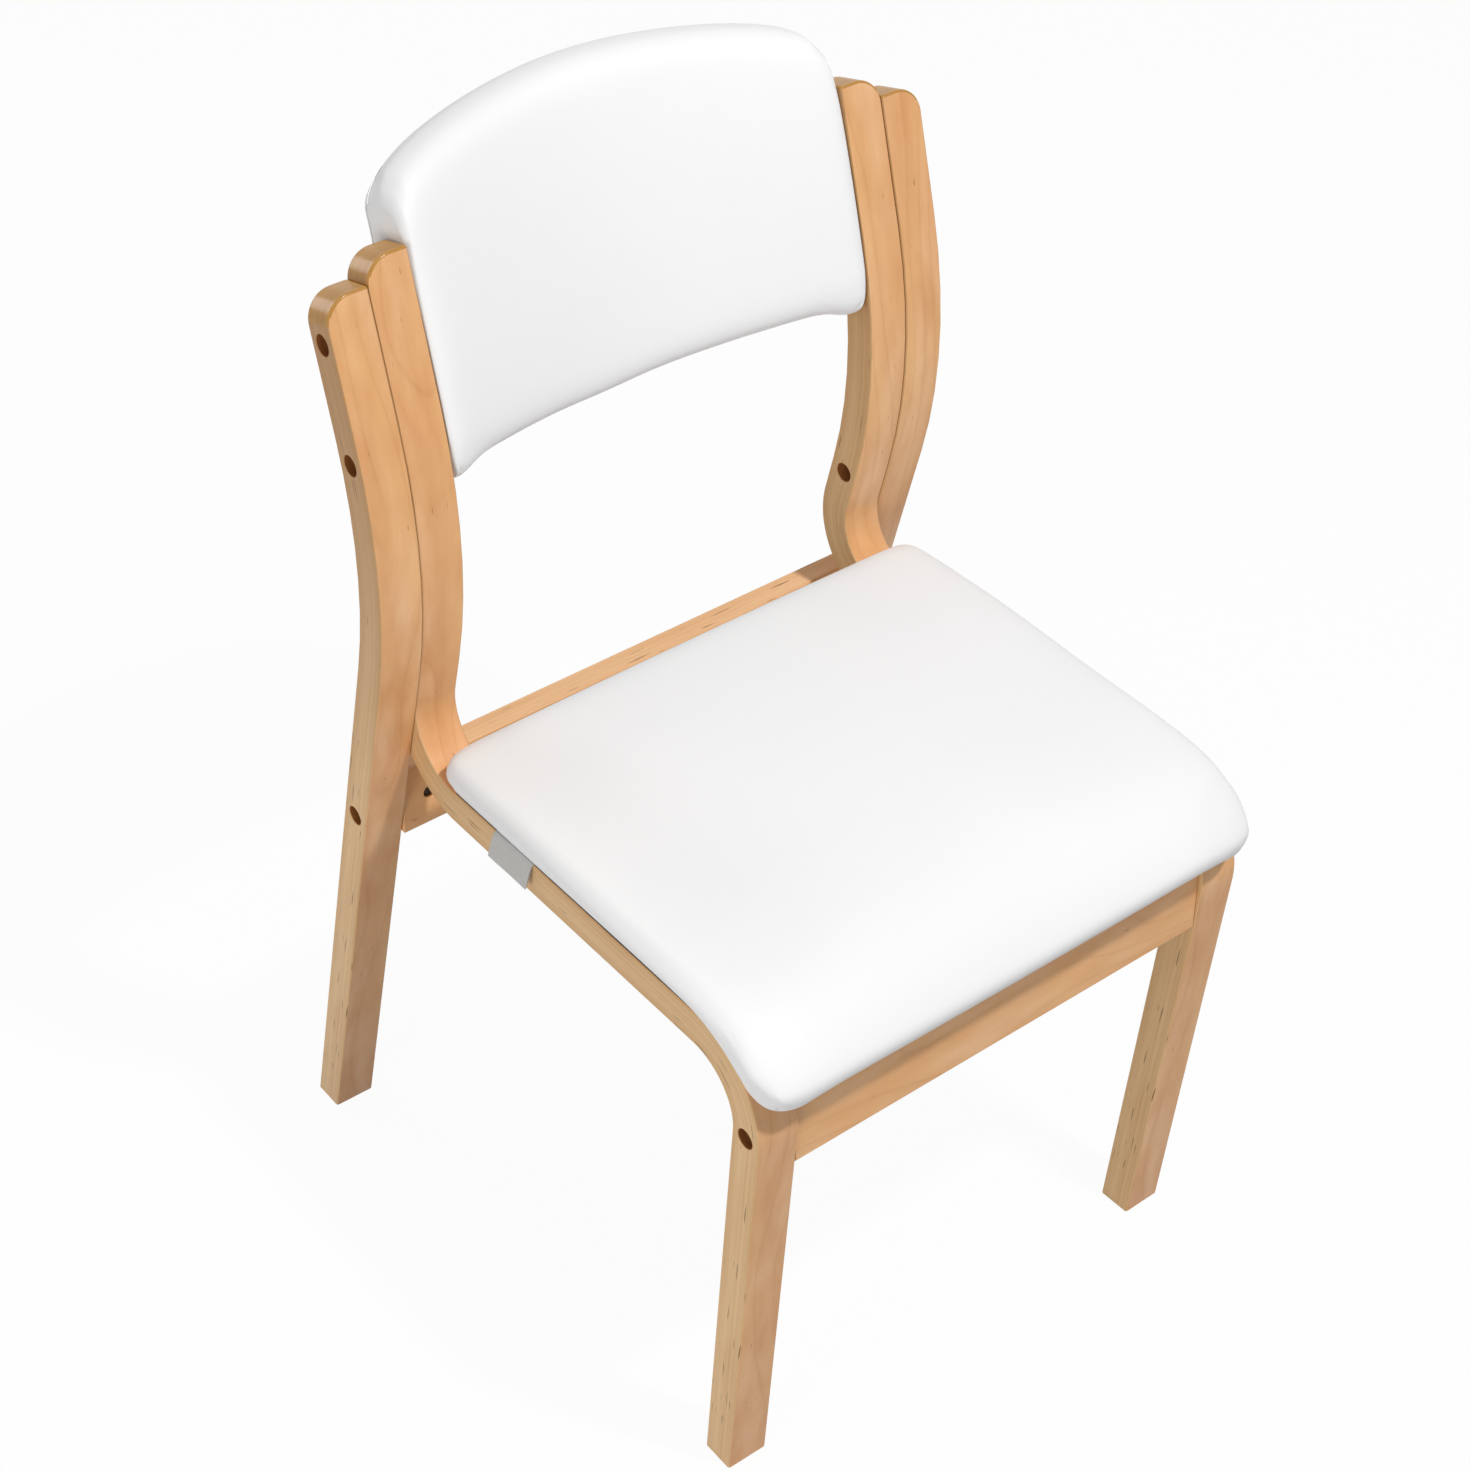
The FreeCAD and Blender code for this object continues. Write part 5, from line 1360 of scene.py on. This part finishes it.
staples = make_staples()
print("staples:", len(staples.data.polygons), "faces")

# %% [markdown]
# ## Floor
# The photograph has a white ground with hardly any shadow. More light would wash out the chair, so the
# floor is white only to rays from the camera, in mirrors and through glass. To other light it is grey. A
# small share of its own shading is kept, and with it the soft shadow of the chair.

# %% Floor
FLOOR_SIZE, FLOOR_GLOW = 12.0, 0.95
FLOOR_GREY, FLOOR_PALE = (0.43, 0.43, 0.43, 1), (0.92, 0.92, 0.92, 1)


def seen_rays(tree):
    """1 for rays that show the background: from the camera, mirrored or through glass."""
    rays = add(tree, "ShaderNodeLightPath").outputs
    straight = maths(tree, "ADD", rays["Is Camera Ray"], rays["Is Glossy Ray"])
    return maths(tree, "ADD", straight, rays["Is Transmission Ray"], True)


def make_floor():
    bm = bmesh.new()
    bmesh.ops.create_grid(bm, x_segments=1, y_segments=1, size=FLOOR_SIZE)
    floor = as_object("floor", bm)
    material, tree, shader = new_material("pale_floor")
    rays = seen_rays(tree)
    feed(tree, shader, {"Base Color": blend(tree, rays, FLOOR_GREY, FLOOR_PALE), "Roughness": 0.9,
                        "Specular IOR Level": 0.0})
    glow = add(tree, "ShaderNodeEmission", {"Color": (1, 1, 1, 1), "Strength": 1.0})
    both = add(tree, "ShaderNodeMixShader", {0: maths(tree, "MULTIPLY", rays, FLOOR_GLOW),
                                             1: shader.outputs[0], 2: glow.outputs[0]})
    tree.links.new(both.outputs[0], tree.nodes["Material Output"].inputs["Surface"])
    floor.data.materials.append(material)
    return floor


floor = make_floor()
print("floor:", floor.dimensions.to_tuple(1))

# %% [markdown]
# ## Light
# The sky gives an even light from all round. A small key lamp, high in front, gives the seat's clear
# shadow on the front rail. A broad, weak fill lamp, low on the left, lights the edges on that side. A
# glint lamp low behind brightens the tops of the posts.

# %% Light
SKY = 0.34
LAMPS = {"key": (Vector((0.42, -1.68, 3.24)), Vector((0, -0.25, 0.38)), 0.20, 65.5),
         "fill": (Vector((-2.25, -0.7, 0.55)), Vector((0, 0, 0.40)), 1.0, 16.5),
         "glint": (Vector((-0.9, 2.55, 1.28)), Vector((-0.2, 0.2, 0.8)), 0.9, 9.0)}


def make_sky():
    world = bpy.data.worlds.new("sky")
    world.use_nodes = True
    tree = world.node_tree
    feed(tree, tree.nodes["Background"], {"Color": (1, 1, 1, 1),
                                          "Strength": spread(tree, seen_rays(tree), 0.0, 1.0, SKY, 1.0)})
    scene.world = world


def make_lamp(name, place, aim, size, power):
    """Square lamp at a place, turned to what it lights; size in metres, power in watts."""
    data = bpy.data.lights.new(name, "AREA")
    data.size, data.energy = size, power
    lamp = bpy.data.objects.new(name, data)
    turn = (aim - place).to_track_quat("-Z", "Y")
    lamp.matrix_world = Matrix.Translation(place) @ turn.to_matrix().to_4x4()
    scene.collection.objects.link(lamp)


make_sky()
for name, values in LAMPS.items():
    make_lamp(name, *values)
print("lamps:", list(LAMPS))
